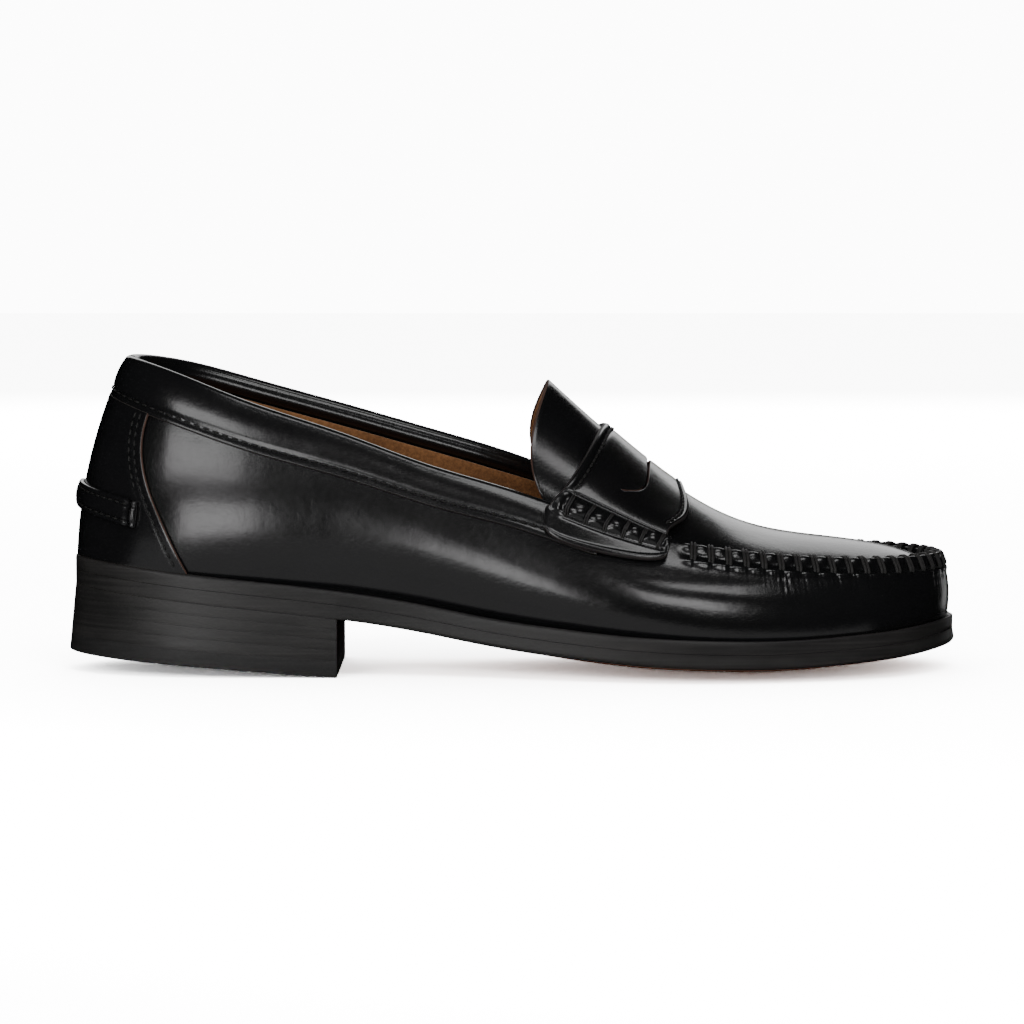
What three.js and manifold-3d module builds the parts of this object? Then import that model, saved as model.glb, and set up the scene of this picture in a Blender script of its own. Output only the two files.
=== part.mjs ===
// A right-foot penny loafer: moccasin upper on a leather sole with a stacked heel.
// Millimetres, +Z up, +X to the toe, +Y to the inner (medial) side of the foot.
// The shoe stands on the front edge of its heel and on the crowned tread under the ball.

import * as THREE from "three";
import { mergeVertices } from "three/addons/utils/BufferGeometryUtils.js";
import Module from "manifold-3d";

const wasm = await Module();
wasm.setup();

// ---------------------------------------------------------------- driving dimensions

const SHOE_LENGTH = 300;
const HEEL_LENGTH = 92;
const HEEL_STATION = 4;
const HEEL_BACK_LIFT = 7;
const SEAT_FLARE = 2.2;
const LIFTS_SHARE = 0.75;
const HEEL_LIFT_COUNT = 4;
const TOP_LIFT_THICKNESS = 5.6;
const MIDSOLE_THICKNESS = 4.2;
const OUTSOLE_THICKNESS = 4.8;
const UPPER_LEATHER = 1.4;
const BAND_LEATHER = 1.0;
const STRAP_LEATHER = 1.6;
const COUNTER_BOARD = 0.9;
const LINING_LEATHER = 0.9;
const GAP = 0.3;
const CURVE_GAP = 0.5;
const STACK_GAP = 0.15;

// Depths of the layers inside the outer face of the side wall.
const COUNTER_DEPTH = UPPER_LEATHER + CURVE_GAP;
const LINING_DEPTH = COUNTER_DEPTH + COUNTER_BOARD + CURVE_GAP;

// Heights of the bottom layers above the bed, which is the top face of the midsole.
const MARGIN_LOW = CURVE_GAP;
const MARGIN_HIGH = MARGIN_LOW + UPPER_LEATHER;
const INSOLE_LOW = MARGIN_HIGH + GAP;
const INSOLE_HIGH = INSOLE_LOW + 2.4;
const LINING_FOOT = INSOLE_HIGH + GAP;
const SOCK_HIGH = LINING_FOOT + 0.9;
const PAD_LOW = SOCK_HIGH + GAP;
const PAD_HIGH = PAD_LOW + 2;
const MARGIN_WIDTH = 12;

// The moccasin ridge, where the apron's turned-up lip meets the side wall.
const RIDGE_HEIGHT = 3.4;
const RIDGE_INSET = 3.4;
const TONGUE_INSET = 6;
const RIDGE_LENGTH = 216;
const WHIP_PITCH = 5.8;
const THREAD_RADIUS = 0.45;

// Stations 0 to 12 run from the heel to the toe down the outer side, 13 to 23 back up the inner side.
const TOE = 12;
const STATIONS = 24;
const STATION_STEP = 1 / 3;

// Edge of the sole in plan: x, y.
const OUTLINE = [
  [0, 0], [8.5, -20], [33, -32], [62, -34.5], [92, -33.5], [122, -35],
  [150, -41], [180, -49], [208, -53], [236, -50.5], [262, -43], [285, -28],
  [300, 4],
  [287, 34], [264, 45], [236, 49.8], [208, 48.5], [180, 40.5],
  [150, 32], [122, 28.5], [92, 30], [62, 33], [33, 31], [8.5, 19],
];

// Upper edge of the side wall, the collar line and then the moccasin ridge: x, y, z.
const TOP_EDGE = [
  [20.5, 0, 103.8], [24.5, -13.5, 102.9], [41, -24.5, 97.6], [65, -29.5, 88.5],
  [94, -32, 79], [122, -34, 68.8], [150, -36.5, 60.6], [180, -40, 50.8],
  [206, -40.5, 44.6], [232, -38, 41], [257, -32.5, 39], [280.5, -22.5, 38.3],
  [295.5, 3, 38.6],
  [282, 28, 39], [259, 37, 40], [233, 41.5, 43], [206, 43, 48], [180, 41, 57],
  [150, 37, 68.5], [122, 33.5, 77.2], [94, 31.5, 85.4], [65, 29, 93.6], [41, 24, 100.4], [24.5, 13, 103.6],
];

// How far the wall swells past a straight line, low down and high up, and its set-back from the sole edge.
const SWELL = [
  [4.6, 4.6, 4.2], [5, 4.5, 4.2], [6, 4, 3.6], [7, 4, 3.4], [7, 4, 3.4], [8, 4, 3.4],
  [8.5, 4, 3.4], [8, 4, 3.4], [6, 5, 3.2], [5, 5, 3], [4, 4.5, 2.7], [3, 4, 2.3],
  [2, 2.6, 2],
  [3, 4, 2.3], [4, 4.5, 2.7], [5, 5, 3], [7, 5, 3.2], [9, 5, 3.4],
  [12, 5, 3.4], [12, 5, 3.4], [10, 4.5, 3.4], [8, 4, 3.4], [6, 4, 3.6], [5, 4.5, 4.2],
];

// Crest of the instep from station 5 to station 11: x, z.
const CREST = [
  [118, 141], [151, 108], [184.8, 77.4], [210.5, 58], [233, 47.8], [256.5, 44], [278, 40.6],
];
const CREST_START = 5;

// Height of the sole's top edge along the shoe, and the depth of the sole's crown: x, mm.
const SOLE_LINE = [
  [-2, 38.6], [44, 33.3], [92, 28], [120, 23.7], [143, 19.6], [166, 16.8],
  [190, 14.7], [215, 13.6], [240, 13.4], [262, 14.4], [282, 15.8], [302, 18],
];
const CROWN = [[-2, 0], [100, 0], [140, 1.2], [180, 4], [215, 4.8], [245, 4.4], [275, 2.6], [302, 1]];

// Front edge of the heel foxing: share of the wall's height, station.
const FOXING_EDGE = [
  [0, 2.32], [0.14, 2.13], [0.26, 1.97], [0.39, 1.79],
  [0.5, 1.66], [0.6, 1.58], [0.68, 1.555], [0.78, 1.575], [0.9, 1.6],
];

// Width of the collar band: station from the heel, mm.
const BAND_WIDTH = [
  [0, 11.4], [0.7, 12.4], [1.7, 14.2], [2.7, 14.2], [3.7, 12.9], [4.7, 11.4], [5.5, 10.6], [7, 10],
];
const BAND_END = 6 + 2 / 3;
const HEEL_TAB_END = 1 + 2 / 3;

const LEATHER_BLACK = { color: 0x0d0c0c, roughness: 0.22, metalness: 0 };
const LEATHER_LINING = { color: 0x6b3d1c, roughness: 0.85, metalness: 0 };
const LEATHER_SOLE = { color: 0x8a4a2c, roughness: 0.7, metalness: 0 };
const EDGE_BLACK = { color: 0x17161a, roughness: 0.45, metalness: 0 };
const BOARD = { color: 0x8c7a62, roughness: 0.9, metalness: 0 };
const CORK = { color: 0x9a6f45, roughness: 0.95, metalness: 0 };
const STEEL = { color: 0x9a9ca0, roughness: 0.35, metalness: 1 };
const RUBBER = { color: 0x131315, roughness: 0.6, metalness: 0 };
const THREAD = { color: 0x0a0a0a, roughness: 0.5, metalness: 0 };

const loafer = new THREE.Group();

function add(name, geometry, finish) {
  const mesh = new THREE.Mesh(geometry, new THREE.MeshStandardMaterial(finish));
  mesh.name = name;
  loafer.add(mesh);
}

// ---------------------------------------------------------------- curves of the last

// A smooth curve z(x) through points given in rising x.
function along(points, x) {
  const last = points.length - 1;
  let i = 0;
  while (i < last - 1 && x > points[i + 1][0]) i += 1;
  const slope = (k) => {
    const a = points[Math.max(0, k - 1)];
    const b = points[Math.min(last, k + 1)];
    return (b[1] - a[1]) / (b[0] - a[0]);
  };
  const width = points[i + 1][0] - points[i][0];
  const t = THREE.MathUtils.clamp((x - points[i][0]) / width, 0, 1);
  const start = points[i][1] * (1 + 2 * t) * (1 - t) ** 2 + points[i + 1][1] * t * t * (3 - 2 * t);
  return start + width * (slope(i) * t * (1 - t) ** 2 - slope(i + 1) * t * t * (1 - t));
}

function loopCurve(points) {
  const vectors = points.map((p) => new THREE.Vector3(p[0], p[1], p[2] ?? 0));
  const curve = new THREE.CatmullRomCurve3(vectors, true, "catmullrom", 0.5);
  return (u) => curve.getPoint(THREE.MathUtils.euclideanModulo(u, STATIONS) / STATIONS);
}

const outlineAt = loopCurve(OUTLINE);
const topEdgeAt = loopCurve(TOP_EDGE);
const swellAt = loopCurve(SWELL);

// The unit vector in plan that points out of the sole at station u.
function outward(u) {
  const tangent = outlineAt(u + 0.01).sub(outlineAt(u - 0.01)).normalize();
  return new THREE.Vector3(tangent.y, -tangent.x, 0);
}

function edgeInset(u, inset) {
  return outlineAt(u).addScaledVector(outward(u), -inset);
}

// Sole width at each x, found once, so that a point's share of the half width is known.
function sideOfSole(x, from) {
  let low = 0;
  let high = TOE;
  for (let i = 0; i < 30; i += 1) {
    const mid = (low + high) / 2;
    if (outlineAt(from + (from ? -mid : mid)).x < x) low = mid;
    else high = mid;
  }
  return outlineAt(from + (from ? -low : low)).y;
}

const WIDTH_STEP = 2;
const WIDTHS = [];
for (let x = 0; x <= SHOE_LENGTH; x += WIDTH_STEP) WIDTHS.push([sideOfSole(x, 0), sideOfSole(x, STATIONS)]);

// Height of the bed, the midsole's top face, at a point in plan.
function bed(x, y) {
  const place = THREE.MathUtils.clamp(x / WIDTH_STEP, 0, WIDTHS.length - 1.001);
  const i = Math.floor(place);
  const outer = THREE.MathUtils.lerp(WIDTHS[i][0], WIDTHS[i + 1][0], place - i);
  const inner = THREE.MathUtils.lerp(WIDTHS[i][1], WIDTHS[i + 1][1], place - i);
  const share = (2 * y - outer - inner) / Math.max(1, inner - outer);
  return along(SOLE_LINE, x) - along(CROWN, x) * (1 - Math.min(1, share * share));
}

// ---------------------------------------------------------------- surfaces of the last

// Outer face of the side wall: station u, share v of the height from the sole to the upper edge.
function wallFace(u, v) {
  const swell = swellAt(u);
  const foot = edgeInset(u, swell.z);
  foot.z = bed(foot.x, foot.y) + MARGIN_LOW;
  const push = 3 * v * (1 - v) * ((1 - v) * swell.x + v * swell.y);
  return foot.lerp(topEdgeAt(u), v).addScaledVector(outward(u), push);
}

function wallHeight(u) {
  return wallFace(u, 1).z - wallFace(u, 0).z;
}

// The wall's face moved out by a distance, or in by a negative one.
function wall(u, v, distance) {
  const across = wallFace(u + 0.02, v).sub(wallFace(u - 0.02, v));
  const up = wallFace(u, v + 0.01).sub(wallFace(u, v - 0.01));
  return wallFace(u, v).addScaledVector(across.cross(up).normalize(), distance);
}

// The direction in which the wall's face leaves its upper edge.
function rimUp(u) {
  return wallFace(u, 1).sub(wallFace(u, 0.96)).normalize();
}

// The apron keeps inside the ridge: its foot is set in and dropped below the wall's upper edge.
function ridgeDrop(u) {
  const forward = u > TOE ? STATIONS - u : u;
  return 1 + (RIDGE_HEIGHT - 1) * THREE.MathUtils.smoothstep(forward, 7.5, 8.1);
}

function ridgeInset(u) {
  const forward = u > TOE ? STATIONS - u : u;
  return TONGUE_INSET + (RIDGE_INSET - TONGUE_INSET) * THREE.MathUtils.smoothstep(forward, 6.8, 7.6);
}

function apronFoot(u, inset = ridgeInset(u), drop = ridgeDrop(u)) {
  const foot = topEdgeAt(u).addScaledVector(outward(u), -inset);
  foot.z -= drop;
  return foot;
}

function crestPoints() {
  const points = CREST.map((p) => new THREE.Vector3(p[0], 0, p[1]));
  points.push(apronFoot(TOE));
  return points;
}
const crestCurve = new THREE.CatmullRomCurve3(crestPoints(), false, "catmullrom", 0.5);

// Upper face of the instep and apron: station u, share t across from -1 outside to 1 inside.
function archFace(u, t, inset, drop) {
  const outer = apronFoot(u, inset, drop);
  const inner = apronFoot(STATIONS - u, inset, drop);
  const crest = crestCurve.getPoint((u - CREST_START) / (TOE - CREST_START));
  crest.y = (outer.y + inner.y) / 2;
  const side = t < 0 ? outer : inner;
  const run = 1 - Math.abs(t);
  const roundness = 0.75 - 0.6 * THREE.MathUtils.smoothstep(u, 7.4, 9);
  const rise = (1 - roundness) * (2 * run - run * run) + roundness * Math.sqrt(1 - t * t);
  const point = side.clone().lerp(crest, run);
  point.z = side.z + (crest.z - side.z) * rise;
  return point;
}

function arch(u, t, distance, inset = ridgeInset(u), drop = ridgeDrop(u)) {
  const face = (a, b) => archFace(a, b, inset, drop);
  const e = 0.012;
  const side = THREE.MathUtils.clamp(t, e - 1, 1 - e);
  const forward = face(Math.min(TOE, u + e), side).sub(face(u - e, side));
  const across = face(u, side + e).sub(face(u, side - e));
  const normal = forward.cross(across);
  if (u > TOE - 0.01) normal.set(0, 0, 1);
  return face(u, t).addScaledVector(normal.normalize(), distance);
}

// ---------------------------------------------------------------- closed bodies from sheets

function steps(from, to, count) {
  return Array.from({ length: count + 1 }, (_, i) => from + ((to - from) * i) / count);
}

function stations(from, to) {
  return steps(from, to, Math.max(1, Math.round((to - from) / STATION_STEP)));
}

function signedVolume(position, triangles) {
  const [a, b, c] = [new THREE.Vector3(), new THREE.Vector3(), new THREE.Vector3()];
  let total = 0;
  for (const [i, j, k] of triangles) {
    a.fromBufferAttribute(position, i);
    b.fromBufferAttribute(position, j);
    c.fromBufferAttribute(position, k);
    total += a.dot(b.cross(c)) / 6;
  }
  return total;
}

function closedGeometry(points, faces) {
  const loose = new THREE.BufferGeometry().setFromPoints(points);
  loose.setIndex(faces.flat());
  const merged = mergeVertices(loose, 2e-3);
  const index = merged.index.array;
  let triangles = [];
  for (let i = 0; i < index.length; i += 3) {
    const [a, b, c] = index.subarray(i, i + 3);
    if (a !== b && b !== c && c !== a) triangles.push([a, b, c]);
  }
  if (signedVolume(merged.attributes.position, triangles) < 0) {
    triangles = triangles.map(([a, b, c]) => [a, c, b]);
  }
  merged.setIndex(triangles.flat());
  merged.computeVertexNormals();
  return merged;
}

// At the toe, and at a pole, a sheet's last row runs out and back over the same points.
function foldsOnItself(row) {
  return row.every((point, i) => point.distanceTo(row[row.length - 1 - i]) < 1e-3);
}

// A body between two sheets of points that have the same rows and columns.
function between(front, back) {
  const rows = front.length;
  const columns = front[0].length;
  const openStart = !foldsOnItself(front[0]);
  const openEnd = !foldsOnItself(front[rows - 1]);
  const at = (side, r, c) => (side * rows + r) * columns + c;
  const faces = [];
  const quad = (a, b, c, d) => faces.push([a, b, c], [a, c, d]);
  for (let r = 0; r < rows - 1; r += 1) {
    for (let c = 0; c < columns - 1; c += 1) {
      quad(at(0, r, c), at(0, r, c + 1), at(0, r + 1, c + 1), at(0, r + 1, c));
      const [p, q, s, t] = [at(1, r, c), at(1, r + 1, c), at(1, r + 1, c + 1), at(1, r, c + 1)];
      faces.push([p, s, t], [p, q, s]);
    }
    quad(at(0, r, 0), at(0, r + 1, 0), at(1, r + 1, 0), at(1, r, 0));
    const last = columns - 1;
    quad(at(1, r, last), at(1, r + 1, last), at(0, r + 1, last), at(0, r, last));
  }
  for (let c = 0; c < columns - 1; c += 1) {
    if (openStart) quad(at(1, 0, c), at(1, 0, c + 1), at(0, 0, c + 1), at(0, 0, c));
    const r = rows - 1;
    if (openEnd) quad(at(0, r, c), at(0, r, c + 1), at(1, r, c + 1), at(1, r, c));
  }
  return closedGeometry([...front.flat(), ...back.flat()], faces);
}

// A layer of the wall from station to station, between two heights given as shares by functions of u.
function wallLayer(from, to, low, high, rows, outer, inner) {
  const sheet = (distance) =>
    stations(from, to).map((u) => steps(low(u), high(u), rows).map((v) => wall(u, v, distance)));
  return between(sheet(outer), sheet(inner));
}

// A flat-lying layer over the bed, its ribs running from the outer to the inner edge.
function bedLayer(from, to, inset, across, low, high) {
  const sheet = (height) =>
    stations(from, to).map((u) => {
      const outer = edgeInset(u, swellAt(u).z + inset);
      const inner = edgeInset(STATIONS - u, swellAt(STATIONS - u).z + inset);
      return steps(0, 1, across).map((share) => {
        const point = outer.clone().lerp(inner, share);
        point.z = height(point);
        return point;
      });
    });
  return between(sheet(high), sheet(low));
}

function aboveBed(height) {
  return (point) => bed(point.x, point.y) + height;
}

// ---------------------------------------------------------------- joins and cuts

function toSolid(geometry) {
  const bare = geometry.clone();
  bare.deleteAttribute("normal");
  bare.deleteAttribute("uv");
  const merged = mergeVertices(bare, 1e-3);
  const vertProperties = new Float32Array(merged.attributes.position.array);
  const triVerts = new Uint32Array(merged.index.array);
  return new wasm.Manifold(new wasm.Mesh({ numProp: 3, vertProperties, triVerts }));
}

function fromSolid(solid) {
  const { vertProperties, triVerts } = solid.getMesh();
  const geometry = new THREE.BufferGeometry();
  geometry.setAttribute("position", new THREE.BufferAttribute(vertProperties, 3));
  geometry.setIndex(new THREE.BufferAttribute(triVerts, 1));
  geometry.computeVertexNormals();
  return geometry;
}

function cut(geometry, tools) {
  let solid = toSolid(geometry);
  for (const tool of tools) solid = solid.subtract(toSolid(tool));
  return fromSolid(solid);
}

// ---------------------------------------------------------------- upper

function sideWall() {
  const columns = stations(0.03, STATIONS - 0.03);
  const heights = [0.04, 0.28, 0.54, 0.8, 1];
  const sheet = (marginHeight, cornerInset, distance) =>
    columns.map((u) => {
      const set = swellAt(u).z;
      const margin = [MARGIN_WIDTH, cornerInset].map((inset) => edgeInset(u, set + inset));
      for (const point of margin) point.z = bed(point.x, point.y) + marginHeight;
      return [...margin, ...heights.map((v) => wall(u, v, distance))];
    });
  const body = between(sheet(MARGIN_LOW, 0.6, 0), sheet(MARGIN_HIGH, 2, -UPPER_LEATHER));
  add("side_wall", body, LEATHER_BLACK);
}

const TONGUE_END = 6 + 1 / 3;

function apron() {
  const across = steps(-90, 90, 12).map((a) => Math.sin(THREE.MathUtils.degToRad(a)));
  const lip = (u, out, down) => {
    const foot = apronFoot(u);
    foot.z += down ? -UPPER_LEATHER : ridgeDrop(u) - 0.6;
    return foot.addScaledVector(outward(u), out);
  };
  const field = across.slice(1, -1);
  const rib = (u, distance) => {
    const thick = -distance;
    const far = STATIONS - u;
    const outerSide = [lip(u, thick, false), thick ? lip(u, thick, true) : apronFoot(u)];
    const innerSide = [thick ? lip(far, thick, true) : apronFoot(far), lip(far, thick, false)];
    return [...outerSide, ...field.map((t) => arch(u, t, distance)), ...innerSide];
  };
  const sheet = (distance) => stations(TONGUE_END, TOE).map((u) => rib(u, distance));
  add("apron", between(sheet(0), sheet(-UPPER_LEATHER)), LEATHER_BLACK);
}

function tongueLining() {
  const across = steps(-60, 60, 8).map((a) => Math.sin(THREE.MathUtils.degToRad(a)));
  const sheet = (distance) =>
    stations(TONGUE_END, 7 + 1 / 3).map((u) => across.map((t) => arch(u, t, distance)));
  const top = UPPER_LEATHER + CURVE_GAP;
  add("tongue_lining", between(sheet(-top), sheet(-top - 0.8)), LEATHER_LINING);
}

const VAMP_LINING_START = 7 + 2 / 3;

function vampLining() {
  const across = steps(-62, 62, 8).map((a) => Math.sin(THREE.MathUtils.degToRad(a)));
  const sheet = (distance) =>
    stations(VAMP_LINING_START, TOE).map((u) => {
      const side = (s) => steps(LINING_FOOT / wallHeight(s), 0.78, 3).map((v) => wall(s, v, -distance));
      return [...side(u), ...across.map((t) => arch(u, t, -distance)), ...side(STATIONS - u).reverse()];
    });
  add("vamp_lining", between(sheet(LINING_DEPTH), sheet(LINING_DEPTH + LINING_LEATHER)), LEATHER_LINING);
}

function quarterLining() {
  const end = VAMP_LINING_START - STATION_STEP;
  const foot = (u) => LINING_FOOT / wallHeight(u);
  const head = (u) => 1 - 11 / wallHeight(u);
  const body = wallLayer(-end, end, foot, head, 4, -LINING_DEPTH, -LINING_DEPTH - LINING_LEATHER);
  add("quarter_lining", body, LEATHER_LINING);
}

function heelCounter() {
  const foot = (u) => LINING_FOOT / wallHeight(u);
  const head = (u) => 0.62 - 0.04 * u * u;
  const inner = -COUNTER_DEPTH - COUNTER_BOARD;
  const body = wallLayer(-2 - 2 / 3, 2 + 2 / 3, foot, head, 3, -COUNTER_DEPTH, inner);
  add("heel_counter", body, BOARD);
}

function toePuff() {
  const foot = (u) => LINING_FOOT / wallHeight(u);
  const body = wallLayer(
    TOE - 1 - 2 / 3, TOE + 1 + 2 / 3, foot, () => 0.72, 2, -COUNTER_DEPTH, -COUNTER_DEPTH - COUNTER_BOARD,
  );
  add("toe_puff", body, BOARD);
}

// Folded over the collar line: outer flap, half-round rim, inner flap.
// Lower edge of the collar band as a share of the wall's height.
function bandLow(u) {
  return 1 - along(BAND_WIDTH, Math.abs(u)) / wallHeight(u);
}

function collarBand() {
  const middle = -UPPER_LEATHER / 2;
  const inside = UPPER_LEATHER / 2 + GAP;
  const sheet = (radius) =>
    stations(-BAND_END, BAND_END).map((u) => {
      const height = wallHeight(u);
      const low = bandLow(u);
      const outer = steps(low, 1, 2).map((v) => wall(u, v, middle + radius));
      const rim = [45, 90, 135].map((angle) => {
        const a = THREE.MathUtils.degToRad(angle);
        return wall(u, 1, middle + radius * Math.cos(a)).addScaledVector(rimUp(u), radius * Math.sin(a));
      });
      const inner = steps(1, 1 - 9 / height, 1).map((v) => wall(u, v, middle - radius));
      return [...outer, ...rim, ...inner];
    });
  add("collar_band", between(sheet(inside + BAND_LEATHER), sheet(inside)), LEATHER_BLACK);
}

function heelFoxing() {
  const rows = [0.02, 0.12, 0.24, 0.38, 0.54, 0.7, 0.85, 1];
  const point = (share, row, distance) => {
    const v = row * (bandLow(1.6 * share) - 0.02);
    return wall(share * along(FOXING_EDGE, v), v, distance);
  };
  const sheet = (distance) => rows.map((row) => steps(-1, 1, 12).map((share) => point(share, row, distance)));
  add("heel_foxing", between(sheet(CURVE_GAP + BAND_LEATHER), sheet(CURVE_GAP)), LEATHER_BLACK);
}

function heelTab() {
  const outer = 2 * CURVE_GAP + BAND_LEATHER;
  const low = (u) => 0.27 - 0.06 * Math.abs(u) / HEEL_TAB_END;
  const high = (u) => 0.37 - 0.035 * Math.abs(u) / HEEL_TAB_END;
  const body = wallLayer(-HEEL_TAB_END, HEEL_TAB_END, low, high, 2, outer + 1.6, outer);
  add("heel_tab", body, LEATHER_BLACK);
}

// Saddle strap: rises from a tab on the outer wall, crosses the instep and ends in a tab on the inner wall.
const STRAP_BEND = 0.74;

function strapPoint(share, w, lift) {
  const far = Math.abs(w);
  const rear = 6.88 - 0.5 * far * far;
  const front = 7.9 - 0.1 * far;
  const u = THREE.MathUtils.lerp(rear, front, share);
  const clear = 0.35 + 1.5 * THREE.MathUtils.smoothstep(far, 0.35, STRAP_BEND);
  if (far <= STRAP_BEND) {
    const t = Math.sin((w / STRAP_BEND) * (Math.PI / 2));
    return arch(u, t, clear + lift, 0, 0);
  }
  const depth = THREE.MathUtils.lerp(0.24, 0.11, share) * ((far - STRAP_BEND) / (1 - STRAP_BEND));
  return wall(w < 0 ? u : STATIONS - u, 1 - depth, clear + lift);
}

function pennyStrap() {
  const saddle = steps(-STRAP_BEND, STRAP_BEND, 14).slice(1, -1);
  const across = [...steps(-1, -STRAP_BEND, 2), ...saddle, ...steps(STRAP_BEND, 1, 2)];
  const sheet = (lift) => across.map((w) => steps(0, 1, 4).map((share) => strapPoint(share, w, lift)));
  add("penny_strap", between(sheet(STRAP_LEATHER), sheet(0)), LEATHER_BLACK);
}

// ---------------------------------------------------------------- threads

function cordAlong(points, radius) {
  const sides = 3;
  const section = new THREE.Shape(
    steps(0, sides - 1, sides - 1).map((i) => {
      const angle = (i / sides) * 2 * Math.PI;
      return new THREE.Vector2(radius * Math.cos(angle), radius * Math.sin(angle));
    }),
  );
  const path = new THREE.CatmullRomCurve3(points, false, "catmullrom", 0.01);
  const geometry = new THREE.ExtrudeGeometry(section, { steps: points.length - 1, extrudePath: path });
  geometry.deleteAttribute("normal");
  geometry.deleteAttribute("uv");
  return mergeVertices(geometry, 1e-3);
}

// Whip stitching that crosses the ridge from the wall to the apron and back.
function mocSeamThread() {
  const points = [];
  const count = 2 * Math.round(RIDGE_LENGTH / WHIP_PITCH / 2);
  const over = [1.6, 1.1, -RIDGE_INSET - 0.8, -RIDGE_INSET - 1.7];
  const high = [-1, 1.2, 1.2, -0.6];
  steps(8.3, STATIONS - 8.3, count).forEach((u, i) => {
    const order = i % 2 ? [3, 2, 1, 0] : [0, 1, 2, 3];
    for (const k of order) {
      const point = topEdgeAt(u + 0.01 * (k - 1.5)).addScaledVector(outward(u), over[k]);
      point.z += high[k];
      points.push(point);
    }
  });
  add("moc_seam_thread", cordAlong(points, THREAD_RADIUS), THREAD);
}

// The thread that holds each strap tab down, slanting to and fro over its roll.
function strapThread(name, side) {
  const points = [];
  const crossings = 12;
  for (let i = 0; i < crossings; i += 1) {
    const share = 0.1 + (0.8 * i) / (crossings - 1);
    const lift = STRAP_LEATHER + 0.9;
    const low = strapPoint(share, side * (STRAP_BEND + 0.1), lift);
    const mid = strapPoint(share, side * STRAP_BEND, lift);
    const high = strapPoint(share, side * (STRAP_BEND - 0.06), lift);
    points.push(...(i % 2 ? [high, mid, low] : [low, mid, high]));
  }
  add(name, cordAlong(points, THREAD_RADIUS), THREAD);
}

// ---------------------------------------------------------------- bottom

function treadLow() {
  let low = Infinity;
  for (let x = 150; x < 290; x += 0.5) {
    low = Math.min(low, along(SOLE_LINE, x) - along(CROWN, x) - MIDSOLE_THICKNESS - OUTSOLE_THICKNESS);
  }
  return low;
}

const GROUND = treadLow();

function heelFloor(x) {
  return GROUND + HEEL_BACK_LIFT * (1 - x / HEEL_LENGTH);
}

// The heel flares from the seat down to the top lift, most at the back.
function seatInset(u, share) {
  return SEAT_FLARE * (1 - share) * Math.max(0, 1 - (u / HEEL_STATION) ** 2);
}

function soleLayer(to, top, bottom, flareTop = 0, flareBottom = 0) {
  const sheet = (height, flare) =>
    stations(0, to).map((u) => {
      const inset = seatInset(u, flare);
      const [outer, inner] = [edgeInset(u, inset), edgeInset(STATIONS - u, inset)];
      return steps(0, 1, 4).map((share) => {
        const point = outer.clone().lerp(inner, share);
        point.z = height(point);
        return point;
      });
    });
  return between(sheet(top, flareTop), sheet(bottom, flareBottom));
}

const NAIL_RADIUS = 1;
const NAIL_HEAD_RADIUS = 2.2;
const NAIL_PLACES = [[22, 0], [42, -15], [42, 15], [66, -16], [66, 15]];
const NAIL_TOP_ABOVE_BED = INSOLE_HIGH - 0.2;

function nailShape(extra) {
  const length = NAIL_TOP_ABOVE_BED + MIDSOLE_THICKNESS + OUTSOLE_THICKNESS + 9;
  const head = 0.8 + extra;
  const profile = [
    [0, -length - extra], [NAIL_RADIUS + extra, -length - extra], [NAIL_RADIUS + extra, -head],
    [NAIL_HEAD_RADIUS + extra, -head], [NAIL_HEAD_RADIUS + extra, extra ? 3 : 0], [0, extra ? 3 : 0],
  ];
  const geometry = new THREE.LatheGeometry(profile.map((p) => new THREE.Vector2(p[0], p[1])), 6);
  return geometry.rotateX(Math.PI / 2);
}

function nailAt(place, extra) {
  const [x, y] = place;
  const geometry = nailShape(extra);
  geometry.deleteAttribute("normal");
  geometry.deleteAttribute("uv");
  const merged = mergeVertices(geometry.translate(x, y, bed(x, y) + NAIL_TOP_ABOVE_BED), 1e-3);
  return closedGeometry(pointsOf(merged), trianglesOf(merged));
}

function pointsOf(geometry) {
  const position = geometry.attributes.position;
  return steps(0, position.count - 1, position.count - 1).map((i) =>
    new THREE.Vector3().fromBufferAttribute(position, i),
  );
}

function trianglesOf(geometry) {
  const index = [...geometry.index.array];
  return steps(0, index.length / 3 - 1, index.length / 3 - 1).map((i) => index.slice(3 * i, 3 * i + 3));
}

function nailHoles() {
  return NAIL_PLACES.map((place) => nailAt(place, GAP));
}

function heelNails() {
  NAIL_PLACES.forEach((place, i) => add(`heel_nail_${i + 1}`, nailAt(place, 0), STEEL));
}

function insoleAndFittings() {
  const insole = bedLayer(0, TOE, 2.2, 4, aboveBed(INSOLE_LOW), aboveBed(INSOLE_HIGH));
  add("insole_board", cut(insole, nailHoles()), BOARD);
  const sockInset = LINING_DEPTH + LINING_LEATHER + 0.8;
  const sock = bedLayer(0, TOE, sockInset, 3, aboveBed(LINING_FOOT), aboveBed(SOCK_HIGH));
  add("sock_lining", sock, LEATHER_LINING);
  const pad = bedLayer(0, 2 + 2 / 3, 7.5, 4, aboveBed(PAD_LOW), aboveBed(PAD_HIGH));
  add("heel_pad", pad, LEATHER_LINING);
  const fillInset = MARGIN_WIDTH + 1.5;
  const fill = bedLayer(5 + 2 / 3, 11 + 1 / 3, fillInset, 4, aboveBed(MARGIN_LOW), aboveBed(MARGIN_HIGH));
  add("cork_filler", fill, CORK);
}

// A sprung steel strip from the heel seat to the back of the ball.
function steelShank() {
  const sheet = (height) =>
    steps(74, 136, 7).map((x) =>
      steps(-6, 6, 2).map((y) => {
        const middle = THREE.MathUtils.lerp(-0.5, -3.5, (x - 74) / 62);
        return new THREE.Vector3(x, middle + y, bed(x, middle) + height);
      }),
    );
  add("steel_shank", between(sheet(MARGIN_LOW + 1.2), sheet(MARGIN_LOW)), STEEL);
}

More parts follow.
